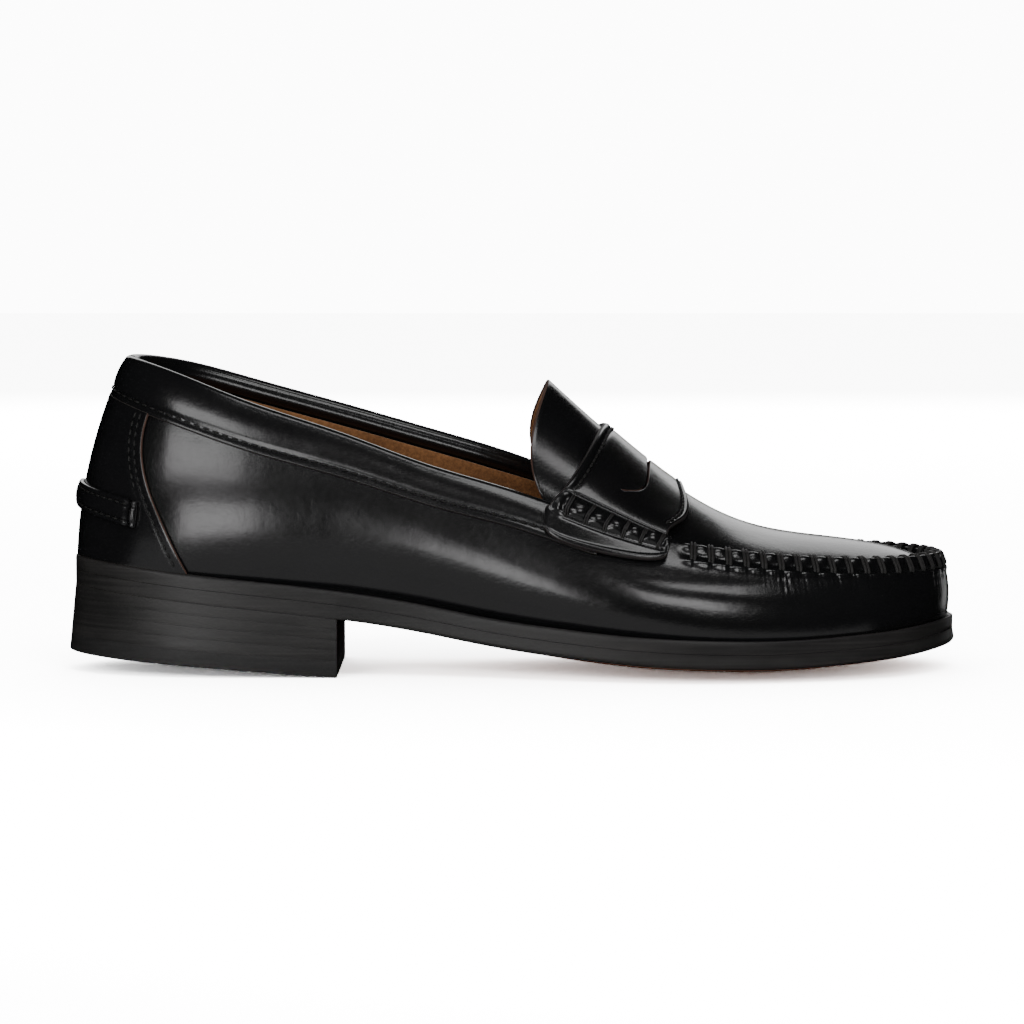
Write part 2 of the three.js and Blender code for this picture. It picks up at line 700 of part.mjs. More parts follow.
function soleLayers() {
  const bottom = MIDSOLE_THICKNESS + OUTSOLE_THICKNESS;
  const holes = nailHoles();
  const midsole = soleLayer(TOE, aboveBed(0), aboveBed(-MIDSOLE_THICKNESS));
  add("midsole", cut(midsole, holes), EDGE_BLACK);
  const outsole = soleLayer(TOE, aboveBed(-MIDSOLE_THICKNESS - STACK_GAP), aboveBed(-bottom));
  add("outsole", cut(outsole, holes), LEATHER_SOLE);
}

function heelStack() {
  const seat = (x) => along(SOLE_LINE, x) - MIDSOLE_THICKNESS - OUTSOLE_THICKNESS - STACK_GAP;
  const foot = (x) => heelFloor(x) + TOP_LIFT_THICKNESS + STACK_GAP;
  const level = (share, gap) => (point) => THREE.MathUtils.lerp(seat(point.x), foot(point.x), share) - gap;
  const holes = nailHoles();
  for (let i = 0; i < HEEL_LIFT_COUNT; i += 1) {
    const top = level(i / HEEL_LIFT_COUNT, i ? STACK_GAP : 0);
    const flare = (k) => (LIFTS_SHARE * k) / HEEL_LIFT_COUNT;
    const lift = soleLayer(HEEL_STATION, top, level((i + 1) / HEEL_LIFT_COUNT, 0), flare(i), flare(i + 1));
    add(`heel_lift_${i + 1}`, cut(lift, holes), EDGE_BLACK);
  }
  const floor = (point) => heelFloor(point.x);
  const topLift = soleLayer(HEEL_STATION, (p) => floor(p) + TOP_LIFT_THICKNESS, floor, LIFTS_SHARE, 1);
  add("top_lift", topLift, RUBBER);
}

sideWall();
apron();
tongueLining();
vampLining();
quarterLining();
heelCounter();
toePuff();
collarBand();
heelFoxing();
heelTab();
pennyStrap();
mocSeamThread();
strapThread("strap_thread_outer", -1);
strapThread("strap_thread_inner", 1);
insoleAndFittings();
steelShank();
soleLayers();
heelStack();
heelNails();

const sides = steps(0, STATIONS, STATIONS / STATION_STEP).map((u) => outlineAt(u).y);
const middle = (Math.min(...sides) + Math.max(...sides)) / 2;
loafer.position.set(-SHOE_LENGTH / 2, -middle, -GROUND);

export default loafer;
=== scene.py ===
import math

import bmesh
import bpy
import numpy as np
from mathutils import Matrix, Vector


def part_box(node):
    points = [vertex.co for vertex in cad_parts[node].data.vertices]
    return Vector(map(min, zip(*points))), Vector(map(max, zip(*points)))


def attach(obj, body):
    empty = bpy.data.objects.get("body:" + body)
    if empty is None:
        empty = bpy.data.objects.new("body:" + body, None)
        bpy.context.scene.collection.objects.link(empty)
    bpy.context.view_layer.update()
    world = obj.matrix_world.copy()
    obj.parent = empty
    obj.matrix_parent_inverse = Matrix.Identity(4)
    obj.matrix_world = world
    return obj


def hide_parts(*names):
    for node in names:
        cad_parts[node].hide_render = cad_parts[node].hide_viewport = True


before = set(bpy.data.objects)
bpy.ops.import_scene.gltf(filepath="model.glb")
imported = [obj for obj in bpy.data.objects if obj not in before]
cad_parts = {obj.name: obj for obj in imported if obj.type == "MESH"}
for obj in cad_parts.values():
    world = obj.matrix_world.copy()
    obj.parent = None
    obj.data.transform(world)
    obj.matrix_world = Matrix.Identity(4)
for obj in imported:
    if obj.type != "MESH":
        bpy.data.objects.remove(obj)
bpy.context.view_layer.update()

# ------------------------------------------------ the last: stations and lines, in millimetres
# x runs forward from the back of the heel, y inward from the middle, z up from the ground.
# Stations 0 to 12 run from the heel to the toe down the outer side, 13 to 23 back up the inner side.

TOE = 12
STATIONS = 24
MM = 0.001

OUTLINE = [
    (0, 0), (8.5, -20), (33, -32), (62, -34.5), (92, -33.5), (122, -35),
    (150, -41), (180, -49), (208, -53), (236, -50.5), (262, -43), (285, -28),
    (300, 4),
    (287, 34), (264, 45), (236, 49.8), (208, 48.5), (180, 40.5),
    (150, 32), (122, 28.5), (92, 30), (62, 33), (33, 31), (8.5, 19),
]
TOP_EDGE = [
    (20.5, 0, 103.8), (24.5, -13.5, 102.9), (41, -24.5, 97.6), (65, -29.5, 88.5),
    (94, -32, 79), (122, -34, 68.8), (150, -36.5, 60.6), (180, -40, 50.8),
    (206, -40.5, 44.6), (232, -38, 41), (257, -32.5, 39), (280.5, -22.5, 38.3),
    (295.5, 3, 38.6),
    (282, 28, 39), (259, 37, 40), (233, 41.5, 43), (206, 43, 48), (180, 41, 57),
    (150, 37, 68.5), (122, 33.5, 77.2), (94, 31.5, 85.4), (65, 29, 93.6), (41, 24, 100.4), (24.5, 13, 103.6),
]
SWELL = [
    (4.6, 4.6, 4.2), (5, 4.5, 4.2), (6, 4, 3.6), (7, 4, 3.4), (7, 4, 3.4), (8, 4, 3.4),
    (8.5, 4, 3.4), (8, 4, 3.4), (6, 5, 3.2), (5, 5, 3), (4, 4.5, 2.7), (3, 4, 2.3),
    (2, 2.6, 2),
    (3, 4, 2.3), (4, 4.5, 2.7), (5, 5, 3), (7, 5, 3.2), (9, 5, 3.4),
    (12, 5, 3.4), (12, 5, 3.4), (10, 4.5, 3.4), (8, 4, 3.4), (6, 4, 3.6), (5, 4.5, 4.2),
]
CREST = [
    (5, 118, 141), (6, 151, 108), (7, 184.8, 77.4), (8, 210.5, 58),
    (9, 233, 47.8), (10, 256.5, 44), (11, 278, 40.6),
]
SOLE_LINE = [
    (-2, 38.6), (44, 33.3), (92, 28), (120, 23.7), (143, 19.6), (166, 16.8),
    (190, 14.7), (215, 13.6), (240, 13.4), (262, 14.4), (282, 15.8), (302, 18),
]
CROWN = [(-2, 0), (60, 0), (100, 0), (140, 1.2), (180, 4), (215, 4.8), (245, 4.4), (275, 2.6), (302, 1)]
FOXING_EDGE = [
    (0, 2.32), (0.14, 2.13), (0.26, 1.97), (0.39, 1.79), (0.5, 1.66),
    (0.6, 1.58), (0.68, 1.555), (0.78, 1.575), (0.9, 1.65),
]
BAND_WIDTH = [
    (0, 11.4), (0.7, 12.4), (1.7, 14.2), (2.7, 14.2), (3.7, 12.9),
    (4.7, 11.4), (5.5, 10.6), (6.1, 10), (6.6, 9.9), (7.1, 10),
]
STRAP_REAR = [
    (0, 6.875), (0.25, 6.835), (0.43, 6.765), (0.56, 6.68),
    (0.64, 6.59), (0.74, 6.43), (0.8, 6.39), (1, 6.36),
]
STRAP_FRONT = [
    (0, 7.82), (0.134, 7.91), (0.3, 7.99), (0.45, 7.955),
    (0.578, 7.83), (0.66, 7.77), (0.74, 7.8), (1, 7.8),
]

SOLE_THICKNESS = 9.0
MIDSOLE_THICKNESS = 4.2
HEEL_LENGTH = 92.0
HEEL_STATION = 4
HEEL_BACK_LIFT = 7.0
TOP_LIFT_THICKNESS = 5.6
LIFT_COUNT = 4
SEAT_FLARE = 2.2

UPPER_LEATHER = 1.4
LINING_DEPTH = 3.3
LINING_LEATHER = 0.9
LINING_FOOT = 4.9
MARGIN_LOW = 0.5
RIDGE_HEIGHT = 3.4
RIDGE_INSET = 3.4
TONGUE_INSET = 6.0
TONGUE_END = 6.3333
STRAP_BEND = 0.74
WHIP_PITCH = 5.8
# Millimetres between stations along the collar line, at the heel and under the strap.
STATION_AT_HEEL = 24
STATION_AT_STRAP = 29


# ------------------------------------------------ smooth curves

def closed_curve(points):
    """A closed curve with smooth curvature through points at whole stations."""
    p = np.asarray(points, float)
    n = len(p)
    ring = np.eye(n)
    system = 4 * ring + np.roll(ring, 1, 0) + np.roll(ring, -1, 0)
    slope = np.linalg.solve(system, 3 * (np.roll(p, -1, 0) - np.roll(p, 1, 0)))

    def at(u):
        u = np.mod(np.asarray(u, float), n)
        i = np.floor(u).astype(int) % n
        j = (i + 1) % n
        t = (u - np.floor(u))[..., None]
        start = p[i] * (1 + 2 * t) * (1 - t) ** 2 + p[j] * t * t * (3 - 2 * t)
        return start + slope[i] * t * (1 - t) ** 2 - slope[j] * t * t * (1 - t)

    return at


def line_through(table):
    """A smooth curve y(x) through rows of x and y."""
    x, y = np.array(table, float).T
    h = np.diff(x)
    n = len(x)
    system = np.eye(n)
    bend = np.zeros(n)
    for i in range(1, n - 1):
        system[i, i - 1:i + 2] = h[i - 1], 2 * (h[i - 1] + h[i]), h[i]
        bend[i] = 6 * ((y[i + 1] - y[i]) / h[i] - (y[i] - y[i - 1]) / h[i - 1])
    second = np.linalg.solve(system, bend)

    def at(s):
        s = np.asarray(s, float)
        i = np.clip(np.searchsorted(x, s) - 1, 0, n - 2)
        a = (x[i + 1] - s) / h[i]
        b = (s - x[i]) / h[i]
        curve = ((a ** 3 - a) * second[i] + (b ** 3 - b) * second[i + 1]) * h[i] ** 2 / 6
        return a * y[i] + b * y[i + 1] + curve

    return at


def smoothstep(x, low, high):
    t = np.clip((np.asarray(x, float) - low) / (high - low), 0, 1)
    return t * t * (3 - 2 * t)


def bump(x, centre, width):
    return np.exp(-(((np.asarray(x, float) - centre) / width) ** 2))


outline_at = closed_curve([(x, y, 0) for x, y in OUTLINE])
top_edge_at = closed_curve(TOP_EDGE)
swell_at = closed_curve(SWELL)
sole_line = line_through(SOLE_LINE)
crown_depth = line_through(CROWN)
foxing_reach = line_through(FOXING_EDGE)


def unit(v):
    return v / np.maximum(np.linalg.norm(v, axis=-1, keepdims=True), 1e-9)


def outward(u):
    tangent = unit(outline_at(np.asarray(u) + 0.01) - outline_at(np.asarray(u) - 0.01))
    return np.stack([tangent[..., 1], -tangent[..., 0], np.zeros(tangent.shape[:-1])], -1)


def edge_inset(u, inset):
    return outline_at(u) - outward(u) * np.asarray(inset, float)[..., None]


HALF_LOOP = np.linspace(0, TOE, 600)
OUTER_SIDE = outline_at(HALF_LOOP)
INNER_SIDE = outline_at(STATIONS - HALF_LOOP)


def bed(x, y):
    """Height of the midsole's top face."""
    outer = np.interp(x, OUTER_SIDE[:, 0], OUTER_SIDE[:, 1])
    inner = np.interp(x, INNER_SIDE[:, 0], INNER_SIDE[:, 1])
    share = (2 * y - outer - inner) / np.maximum(1, inner - outer)
    return sole_line(x) - crown_depth(x) * (1 - np.minimum(1, share ** 2))


TREAD = np.linspace(150, 290, 281)
GROUND = float(np.min(sole_line(TREAD) - crown_depth(TREAD))) - SOLE_THICKNESS
OUTSOLE_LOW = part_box("outsole")[0]
SHIFT = np.array([-150.0, OUTSOLE_LOW.y / MM - min(y for _, y in OUTLINE), -GROUND])


def heel_floor(x):
    return GROUND + HEEL_BACK_LIFT * (1 - x / HEEL_LENGTH)


# ------------------------------------------------ the upper's faces

def wall_face(u, v):
    """Outer face of the side wall at station u and share v of its height."""
    u, v = np.broadcast_arrays(np.asarray(u, float), np.asarray(v, float))
    swell = swell_at(u)
    foot = edge_inset(u, swell[..., 2])
    foot[..., 2] = bed(foot[..., 0], foot[..., 1]) + MARGIN_LOW
    top = top_edge_at(u)
    push = 3 * v * (1 - v) * ((1 - v) * swell[..., 0] + v * swell[..., 1])
    return foot + (top - foot) * v[..., None] + outward(u) * push[..., None]


def wall_normal(u, v):
    across = wall_face(u + 0.02, v) - wall_face(u - 0.02, v)
    up = wall_face(u, v + 0.01) - wall_face(u, v - 0.01)
    return unit(np.cross(across, up))


def wall(u, v, distance=0.0):
    u, v = np.broadcast_arrays(np.asarray(u, float), np.asarray(v, float))
    return wall_face(u, v) + wall_normal(u, v) * np.asarray(distance, float)[..., None]


def wall_height(u):
    return (wall_face(u, 1.0) - wall_face(u, 0.0))[..., 2]


def rim_up(u):
    return unit(wall_face(u, 1.0) - wall_face(u, 0.96))


def forward_station(u):
    return np.where(np.asarray(u) > TOE, STATIONS - np.asarray(u), u)


def ridge_drop(u):
    return 1 + (RIDGE_HEIGHT - 1) * smoothstep(forward_station(u), 7.5, 8.1)


def ridge_inset(u):
    return TONGUE_INSET + (RIDGE_INSET - TONGUE_INSET) * smoothstep(forward_station(u), 6.8, 7.6)


def apron_foot(u, inset, drop):
    foot = top_edge_at(u) - outward(u) * np.asarray(inset, float)[..., None]
    foot[..., 2] -= drop
    return foot


TOE_FOOT = apron_foot(np.array(float(TOE)), RIDGE_INSET, RIDGE_HEIGHT)
crest_x = line_through([(u, x) for u, x, _ in CREST] + [(TOE, TOE_FOOT[0])])
crest_z = line_through([(u, z) for u, _, z in CREST] + [(TOE, TOE_FOOT[2])])


def arch_face(u, t, inset, drop):
    """Upper face of the instep and apron: t runs across from -1 outside to 1 inside."""
    outer = apron_foot(u, inset, drop)
    inner = apron_foot(STATIONS - u, inset, drop)
    crest = np.stack([crest_x(u), (outer[..., 1] + inner[..., 1]) / 2, crest_z(u)], -1)
    side = np.where((t < 0)[..., None], outer, inner)
    run = 1 - np.abs(t)
    roundness = 0.75 - 0.6 * smoothstep(u, 7.4, 9)
    rise = (1 - roundness) * (2 * run - run ** 2) + roundness * np.sqrt(np.maximum(0, 1 - t * t))
    point = side + (crest - side) * run[..., None]
    point[..., 2] = side[..., 2] + (crest[..., 2] - side[..., 2]) * rise
    sweep = 1 - smoothstep(u, TONGUE_END, 6.95)
    point[..., 0] -= 25 * sweep * rise * (1 - rise) ** 1.3
    return point


def arch(u, t, distance=0.0, inset=None, drop=None):
    u, t = np.broadcast_arrays(np.asarray(u, float), np.asarray(t, float))
    inset = ridge_inset(u) if inset is None else inset + 0 * u
    drop = ridge_drop(u) if drop is None else drop + 0 * u
    e = 0.012
    side = np.clip(t, e - 1, 1 - e)
    ahead = np.minimum(TOE - 1e-6, u + e)
    forward = arch_face(ahead, side, inset, drop) - arch_face(u - e, side, inset, drop)
    across = arch_face(u, side + e, inset, drop) - arch_face(u, side - e, inset, drop)
    normal = np.cross(forward, across)
    pole = (u > TOE - 0.02)[..., None]
    normal = unit(np.where(pole, np.array([0, 0, 1.0]), normal))
    return arch_face(u, t, inset, drop) + normal * np.asarray(distance, float)[..., None]


# ------------------------------------------------ closed bodies

def to_frame(points):
    return (np.asarray(points, float) + SHIFT) * MM


def steps(low, high, count):
    return np.linspace(low, high, count + 1)


def edge_steps(low, high, count, margin=0.012):
    """Even steps with one more close to each end, which keeps a rim crisp."""
    s = steps(0, 1, count)
    return low + (high - low) * np.concatenate([[0, margin], s[1:-1], [1 - margin, 1]])


def folds(row):
    return bool(np.all(np.linalg.norm(row - row[::-1], axis=-1) < 1e-4))


def mesh_piece(name, points, faces, finishes, which=None, sharp=None):
    """A welded, outward-facing mesh from points in millimetres."""
    mesh = bpy.data.meshes.new(name)
    mesh.from_pydata(to_frame(points).tolist(), [], faces)
    for finish in finishes:
        mesh.materials.append(finish)
    if which is not None:
        mesh.polygons.foreach_set("material_index", np.asarray(which, np.int32))
    bm = bmesh.new()
    bm.from_mesh(mesh)
    bmesh.ops.remove_doubles(bm, verts=bm.verts, dist=2e-6)
    bmesh.ops.dissolve_degenerate(bm, edges=bm.edges, dist=1e-7)
    if bm.calc_volume(signed=True) < 0:
        bmesh.ops.reverse_faces(bm, faces=bm.faces)
    bm.to_mesh(mesh)
    bm.free()
    mesh.polygons.foreach_set("use_smooth", np.ones(len(mesh.polygons), bool))
    if sharp:
        mesh.set_sharp_from_angle(angle=sharp)
    piece = bpy.data.objects.new(name, mesh)
    bpy.context.scene.collection.objects.link(piece)
    return piece


def quads_of(ids):
    """Faces between neighbouring rows and columns of point numbers."""
    return np.stack([ids[:-1, :-1], ids[:-1, 1:], ids[1:, 1:], ids[1:, :-1]], -1).reshape(-1, 4)


def belts(rings):
    """Faces between closed rings of points, one belt after another."""
    ids = np.arange(rings.shape[0] * rings.shape[1]).reshape(rings.shape[:2])
    after = np.roll(ids, -1, 1)
    return ids, np.stack([ids[:-1], ids[1:], after[1:], after[:-1]], -1)


ROUND_RIM = [(math.cos(a), 0.75 * math.sin(a)) for a in np.radians([36, 72, 108, 144])]


def shell(name, front, back, face, end=None, side=None, under=None, rim=ROUND_RIM):
    """A closed sheet between two grids of points, with a rounded rim all round.

    The ends are the rims along the first and last row, the sides those along the columns."""
    rows, columns = front.shape[:2]
    count = rows * columns
    grid = np.arange(count).reshape(rows, columns)
    faces = quads_of(grid)
    quads = [faces, faces[:, ::-1] + count]
    marks = [np.zeros(len(faces), int), np.full(len(faces), 3)]
    edge = [(0, c) for c in range(columns - 1)] + [(r, columns - 1) for r in range(rows - 1)]
    edge += [(rows - 1, c) for c in range(columns - 1, 0, -1)] + [(r, 0) for r in range(rows - 1, 0, -1)]
    edge = np.array(edge)
    inside = np.clip(edge, 1, [rows - 2, columns - 2])
    middle = (front + back) / 2
    f, b = front[edge[:, 0], edge[:, 1]], back[edge[:, 0], edge[:, 1]]
    out = unit((f + b) / 2 - middle[inside[:, 0], inside[:, 1]])
    half = (f - b) / 2
    size = np.linalg.norm(half, axis=-1, keepdims=True)
    rings = [(f + b) / 2 + half * along + out * size * away for along, away in rim]
    total = len(edge)
    ring_ids = [grid[edge[:, 0], edge[:, 1]]]
    ring_ids += [2 * count + k * total + np.arange(total) for k in range(len(rim))]
    ring_ids.append(count + grid[edge[:, 0], edge[:, 1]])
    after = np.roll(edge, -1, 0)
    keep = np.ones(total, bool)
    for row in (0, rows - 1):
        if folds(front[row]):
            keep &= ~((edge[:, 0] == row) & (after[:, 0] == row))
    at_end = np.isin(edge[:, 0], (0, rows - 1)) & (edge[:, 0] == after[:, 0])
    for a, c in zip(ring_ids[:-1], ring_ids[1:]):
        quads.append(np.stack([np.roll(a, -1), a, c, np.roll(c, -1)], -1)[keep])
        marks.append(np.where(at_end, 1, 2)[keep])
    points = np.concatenate([front.reshape(-1, 3), back.reshape(-1, 3)] + rings)
    finishes = [face, end or face, side or face, under or face]
    return mesh_piece(name, points, np.concatenate(quads).tolist(), finishes, np.concatenate(marks))


def grid_of(function, rows, columns):
    r, c = np.meshgrid(rows, columns, indexing="ij")
    return function(r, c)


# ------------------------------------------------ materials

class Value:
    """A number travelling through a material; arithmetic on it adds Math nodes."""

    def __init__(self, finish, socket):
        self.finish = finish
        self.socket = socket

    def math(self, operation, *others, flip=False):
        values = [self, *others]
        if flip:
            values.reverse()
        return self.finish.node("ShaderNodeMath", {"operation": operation}, dict(enumerate(values)))

    def __add__(self, other):
        return self.math("ADD", other)

    __radd__ = __add__

    def __mul__(self, other):
        return self.math("MULTIPLY", other)

    __rmul__ = __mul__

    def __sub__(self, other):
        return self.math("SUBTRACT", other)

    def __rsub__(self, other):
        return self.math("SUBTRACT", other, flip=True)

    def between(self, low, high):
        inputs = {"Value": self, "From Min": low, "From Max": high}
        return self.finish.node("ShaderNodeMapRange", {"interpolation_type": "SMOOTHSTEP"}, inputs)


class Finish:
    """A material under construction around one Principled shader."""

    def __init__(self, name, **base):
        self.material = bpy.data.materials.new(name)
        self.material.use_nodes = True
        self.tree = self.material.node_tree
        self.shader = self.tree.nodes["Principled BSDF"]
        for socket, value in base.items():
            self.shader.inputs[socket.replace("_", " ")].default_value = value

    def node(self, kind, settings, inputs, output=0):
        node = self.tree.nodes.new(kind)
        for name, value in settings.items():
            setattr(node, name, value)
        for name, value in inputs.items():
            if isinstance(value, Value):
                self.tree.links.new(value.socket, node.inputs[name])
            else:
                node.inputs[name].default_value = value
        return Value(self, node.outputs[output])

    def coordinates(self, scale):
        place = self.node("ShaderNodeTexCoord", {}, {}, "Object")
        return self.node("ShaderNodeMapping", {}, {"Vector": place, "Scale": scale})

    def noise(self, size, detail=2.0, roughness=0.5, stretch=(1, 1, 1), distortion=0.0):
        """Noise whose blotches are about size metres across."""
        place = self.coordinates(tuple(s / size for s in stretch))
        inputs = {"Vector": place, "Scale": 1.0, "Detail": detail}
        inputs.update({"Roughness": roughness, "Distortion": distortion})
        return self.node("ShaderNodeTexNoise", {"noise_dimensions": "3D"}, inputs)

    def cells(self, size):
        place = self.coordinates((1 / size, 1 / size, 1 / size))
        return self.node("ShaderNodeTexVoronoi", {"feature": "F1"}, {"Vector": place, "Scale": 1.0})

    def mix(self, share, first, second):
        """A colour between two colours."""
        pair = {6: (*first, 1.0), 7: (*second, 1.0)}
        return self.node("ShaderNodeMix", {"data_type": "RGBA"}, {0: share, **pair}, 2)

    def bumps(self, height, depth, normal=None):
        inputs = {"Height": height, "Distance": depth, "Strength": 1.0}
        if normal is not None:
            inputs["Normal"] = normal
        return self.node("ShaderNodeBump", {}, inputs)

    def feed(self, **links):
        for socket, value in links.items():
            self.tree.links.new(value.socket, self.shader.inputs[socket.replace("_", " ")])
        return self.material


def polished_calf(name):
    """Deep black leather, glazed to a high gloss, with fine creases under the glaze."""
    finish = Finish(name, Coat_Weight=0.3, Coat_Roughness=0.12, Specular_IOR_Level=0.55)
    fine = finish.noise(0.0016, 3.0, 0.55, distortion=0.8)
    grain = finish.noise(0.00055, 2.0, 0.5)
    slow = finish.noise(0.017, 2.0, 0.45)
    wear = finish.noise(0.03, 3.0, 0.6)
    black = finish.mix(wear, (0.003, 0.0031, 0.0034), (0.0068, 0.0069, 0.0074))
    rough = 0.14 + 0.09 * fine + 0.06 * slow
    normal = finish.bumps(slow, 0.00026)
    normal = finish.bumps(fine * 0.65 + grain * 0.35, 0.00007, normal)
    return finish.feed(Base_Color=black, Roughness=rough, Normal=normal)


def suede_lining(name, red=1.0):
    """Brown lining leather with a short nap."""
    finish = Finish(name, Sheen_Weight=0.25, Sheen_Roughness=0.5, Specular_IOR_Level=0.25)
    speck = finish.noise(0.0009, 4.0, 0.7)
    patch = finish.noise(0.012, 3.0)
    share = (speck * 0.75 + patch * 0.5 - 0.15).between(0.2, 0.85)
    brown = finish.mix(share, (0.13 * red, 0.055, 0.018), (0.36 * red, 0.165, 0.06))
    return finish.feed(Base_Color=brown, Roughness=0.8 + 0.15 * speck, Normal=finish.bumps(speck, 0.0002))


def waxed_edge(name):
    """Sole and heel edge: black stain and wax over close layers of leather, drawn along the edge."""
    finish = Finish(name, Specular_IOR_Level=0.45)
    streak = finish.noise(0.0007, 3.0, 0.55, (0.014, 0.014, 1.0))
    patch = finish.noise(0.02, 3.0, 0.6, (0.5, 0.5, 1.0))
    pits = finish.noise(0.0007, 2.0, 0.6, (0.3, 0.3, 1.0))
    share = (streak * 0.6 + patch * 0.8 - 0.3).between(0.2, 0.85)
    black = finish.mix(share, (0.011, 0.0105, 0.0102), (0.03, 0.028, 0.0268))
    rough = 0.3 + 0.16 * streak + 0.12 * patch
    normal = finish.bumps(streak, 0.000025)
    normal = finish.bumps(pits, 0.00003, normal)
    return finish.feed(Base_Color=black, Roughness=rough, Normal=normal)


def sole_leather(name):
    """Oak-tanned outsole leather, natural red-brown, a little scuffed."""
    finish = Finish(name, Specular_IOR_Level=0.4)
    fibre = finish.noise(0.0012, 4.0, 0.65)
    patch = finish.noise(0.03, 3.0)
    brown = finish.mix(patch * 0.5 + fibre * 0.5, (0.13, 0.056, 0.034), (0.27, 0.135, 0.085))
    return finish.feed(Base_Color=brown, Roughness=0.45 + 0.3 * fibre, Normal=finish.bumps(fibre, 0.0001))


def rubber(name):
    finish = Finish(name, Specular_IOR_Level=0.4)
    speck = finish.noise(0.0008, 3.0, 0.6)
    streak = finish.noise(0.0012, 3.0, 0.6, (0.06, 0.06, 1.0))
    black = finish.mix(streak, (0.006, 0.006, 0.006), (0.022, 0.021, 0.021))
    normal = finish.bumps(speck * 0.5 + streak * 0.5, 0.00012)
    return finish.feed(Base_Color=black, Roughness=0.42 + 0.25 * speck, Normal=normal)


def ground_cork(name):
    finish = Finish(name, Specular_IOR_Level=0.25)
    crumb = finish.cells(0.0025)
    speck = finish.noise(0.0008, 3.0)
    brown = finish.mix(crumb, (0.42, 0.25, 0.13), (0.13, 0.07, 0.035))
    return finish.feed(Base_Color=brown, Roughness=0.75 + 0.2 * speck, Normal=finish.bumps(crumb, 0.0004))


def fibrous(name, dark, pale, size, rough, spread, relief, detail=3.0, uneven=0.7, stretch=(1, 1, 1), **base):
    """A finish whose one fibre noise drives colour, roughness and relief."""
    finish = Finish(name, **base)
    fibre = finish.noise(size, detail, uneven, stretch)
    tone = finish.mix(fibre, dark, pale)
    return finish.feed(Base_Color=tone, Roughness=rough + spread * fibre, Normal=finish.bumps(fibre, relief))


def white_table(name):
    """A matt white table top, exposed to pure white."""
    finish = Finish(name)
    finish.tree.nodes.remove(finish.shader)
    mottle = finish.noise(0.2, 2.0)
    plain = finish.mix(mottle, (0.8, 0.8, 0.8), (0.83, 0.83, 0.83))
    exposed = finish.mix(mottle, (14.0, 14.0, 14.0), (14.6, 14.6, 14.6))
    seen = finish.node("ShaderNodeLightPath", {}, {}, "Is Camera Ray")
    plain = finish.node("ShaderNodeBsdfDiffuse", {}, {"Color": plain})
    exposed = finish.node("ShaderNodeBsdfDiffuse", {}, {"Color": exposed})
    shown = finish.node("ShaderNodeMixShader", {}, {0: seen, 1: plain, 2: exposed})
    finish.tree.links.new(shown.socket, finish.tree.nodes["Material Output"].inputs["Surface"])
    return finish.material


CALF = polished_calf("black_calf")
LINING = suede_lining("quarter_suede")
SOCK = suede_lining("sock_suede", 1.15)
EDGE = waxed_edge("waxed_sole_edge")
TREAD_LEATHER = sole_leather("oak_sole_leather")
RUBBER = rubber("heel_rubber")
CORK = ground_cork("ground_cork")
RAW = fibrous(
    "raw_cut_edge", (0.022, 0.01, 0.007), (0.09, 0.045, 0.033),
    size=0.0006, rough=0.75, spread=0.2, relief=0.0001, Specular_IOR_Level=0.3,
)
INKED = fibrous(
    "inked_edge", (0.006, 0.005, 0.005), (0.028, 0.022, 0.02),
    size=0.0008, rough=0.45, spread=0.3, relief=0.0001, Specular_IOR_Level=0.4,
)
THREAD = fibrous(
    "waxed_thread", (0.004, 0.0038, 0.0038), (0.028, 0.026, 0.025),
    size=0.0005, rough=0.42, spread=0.25, relief=0.00018, Specular_IOR_Level=0.5,
)
FINE_THREAD = fibrous(
    "fine_thread", (0.002, 0.0019, 0.0019), (0.014, 0.013, 0.0125),
    size=0.0005, rough=0.42, spread=0.25, relief=0.00018, Specular_IOR_Level=0.5,
)
BOARD = fibrous(
    "fibre_board", (0.2, 0.15, 0.1), (0.42, 0.34, 0.25),
    size=0.002, rough=0.8, spread=0.15, relief=0.0002, detail=4.0, stretch=(0.4, 1, 1),
    Specular_IOR_Level=0.2,
)
STEEL = fibrous(
    "bright_steel", (0.38, 0.385, 0.4), (0.6, 0.6, 0.62),
    size=0.0008, rough=0.22, spread=0.25, relief=0.00003, uneven=0.6, stretch=(0.05, 1, 1), Metallic=1.0,
)


def finish_piece(piece, slot, *nodes):
    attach(piece, "root")
    if nodes:
        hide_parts(*nodes)
    return piece


# ------------------------------------------------ stitches, made by one node tree each

class Growth:
    """A geometry node tree under construction."""

    def __init__(self, name):
        self.tree = bpy.data.node_groups.new(name, "GeometryNodeTree")
        self.tree.interface.new_socket("Geometry", in_out="INPUT", socket_type="NodeSocketGeometry")
        self.tree.interface.new_socket("Geometry", in_out="OUTPUT", socket_type="NodeSocketGeometry")
        self.start = self.tree.nodes.new("NodeGroupInput")
        self.end = self.tree.nodes.new("NodeGroupOutput")

    def size(self, name, value, kind="NodeSocketFloat"):
        socket = self.tree.interface.new_socket(name, in_out="INPUT", socket_type=kind)
        socket.default_value = value
        return self.start.outputs[name]

    def node(self, kind, settings, inputs, output=0):
        node = self.tree.nodes.new(kind)
        for name, value in settings.items():
            setattr(node, name, value)
        for name, value in inputs.items():
            if isinstance(value, bpy.types.NodeSocket):
                self.tree.links.new(value, node.inputs[name])
            else:
                node.inputs[name].default_value = value
        return node.outputs[output]

    def finish(self, geometry, material):
        solid = self.node("GeometryNodeRealizeInstances", {}, {"Geometry": geometry})
        named = self.node("GeometryNodeSetMaterial", {}, {"Geometry": solid, "Material": material})
        self.tree.links.new(named, self.end.inputs[0])


STITCH_LEAN = 0.12
THREAD_UNEVENNESS = 900.0


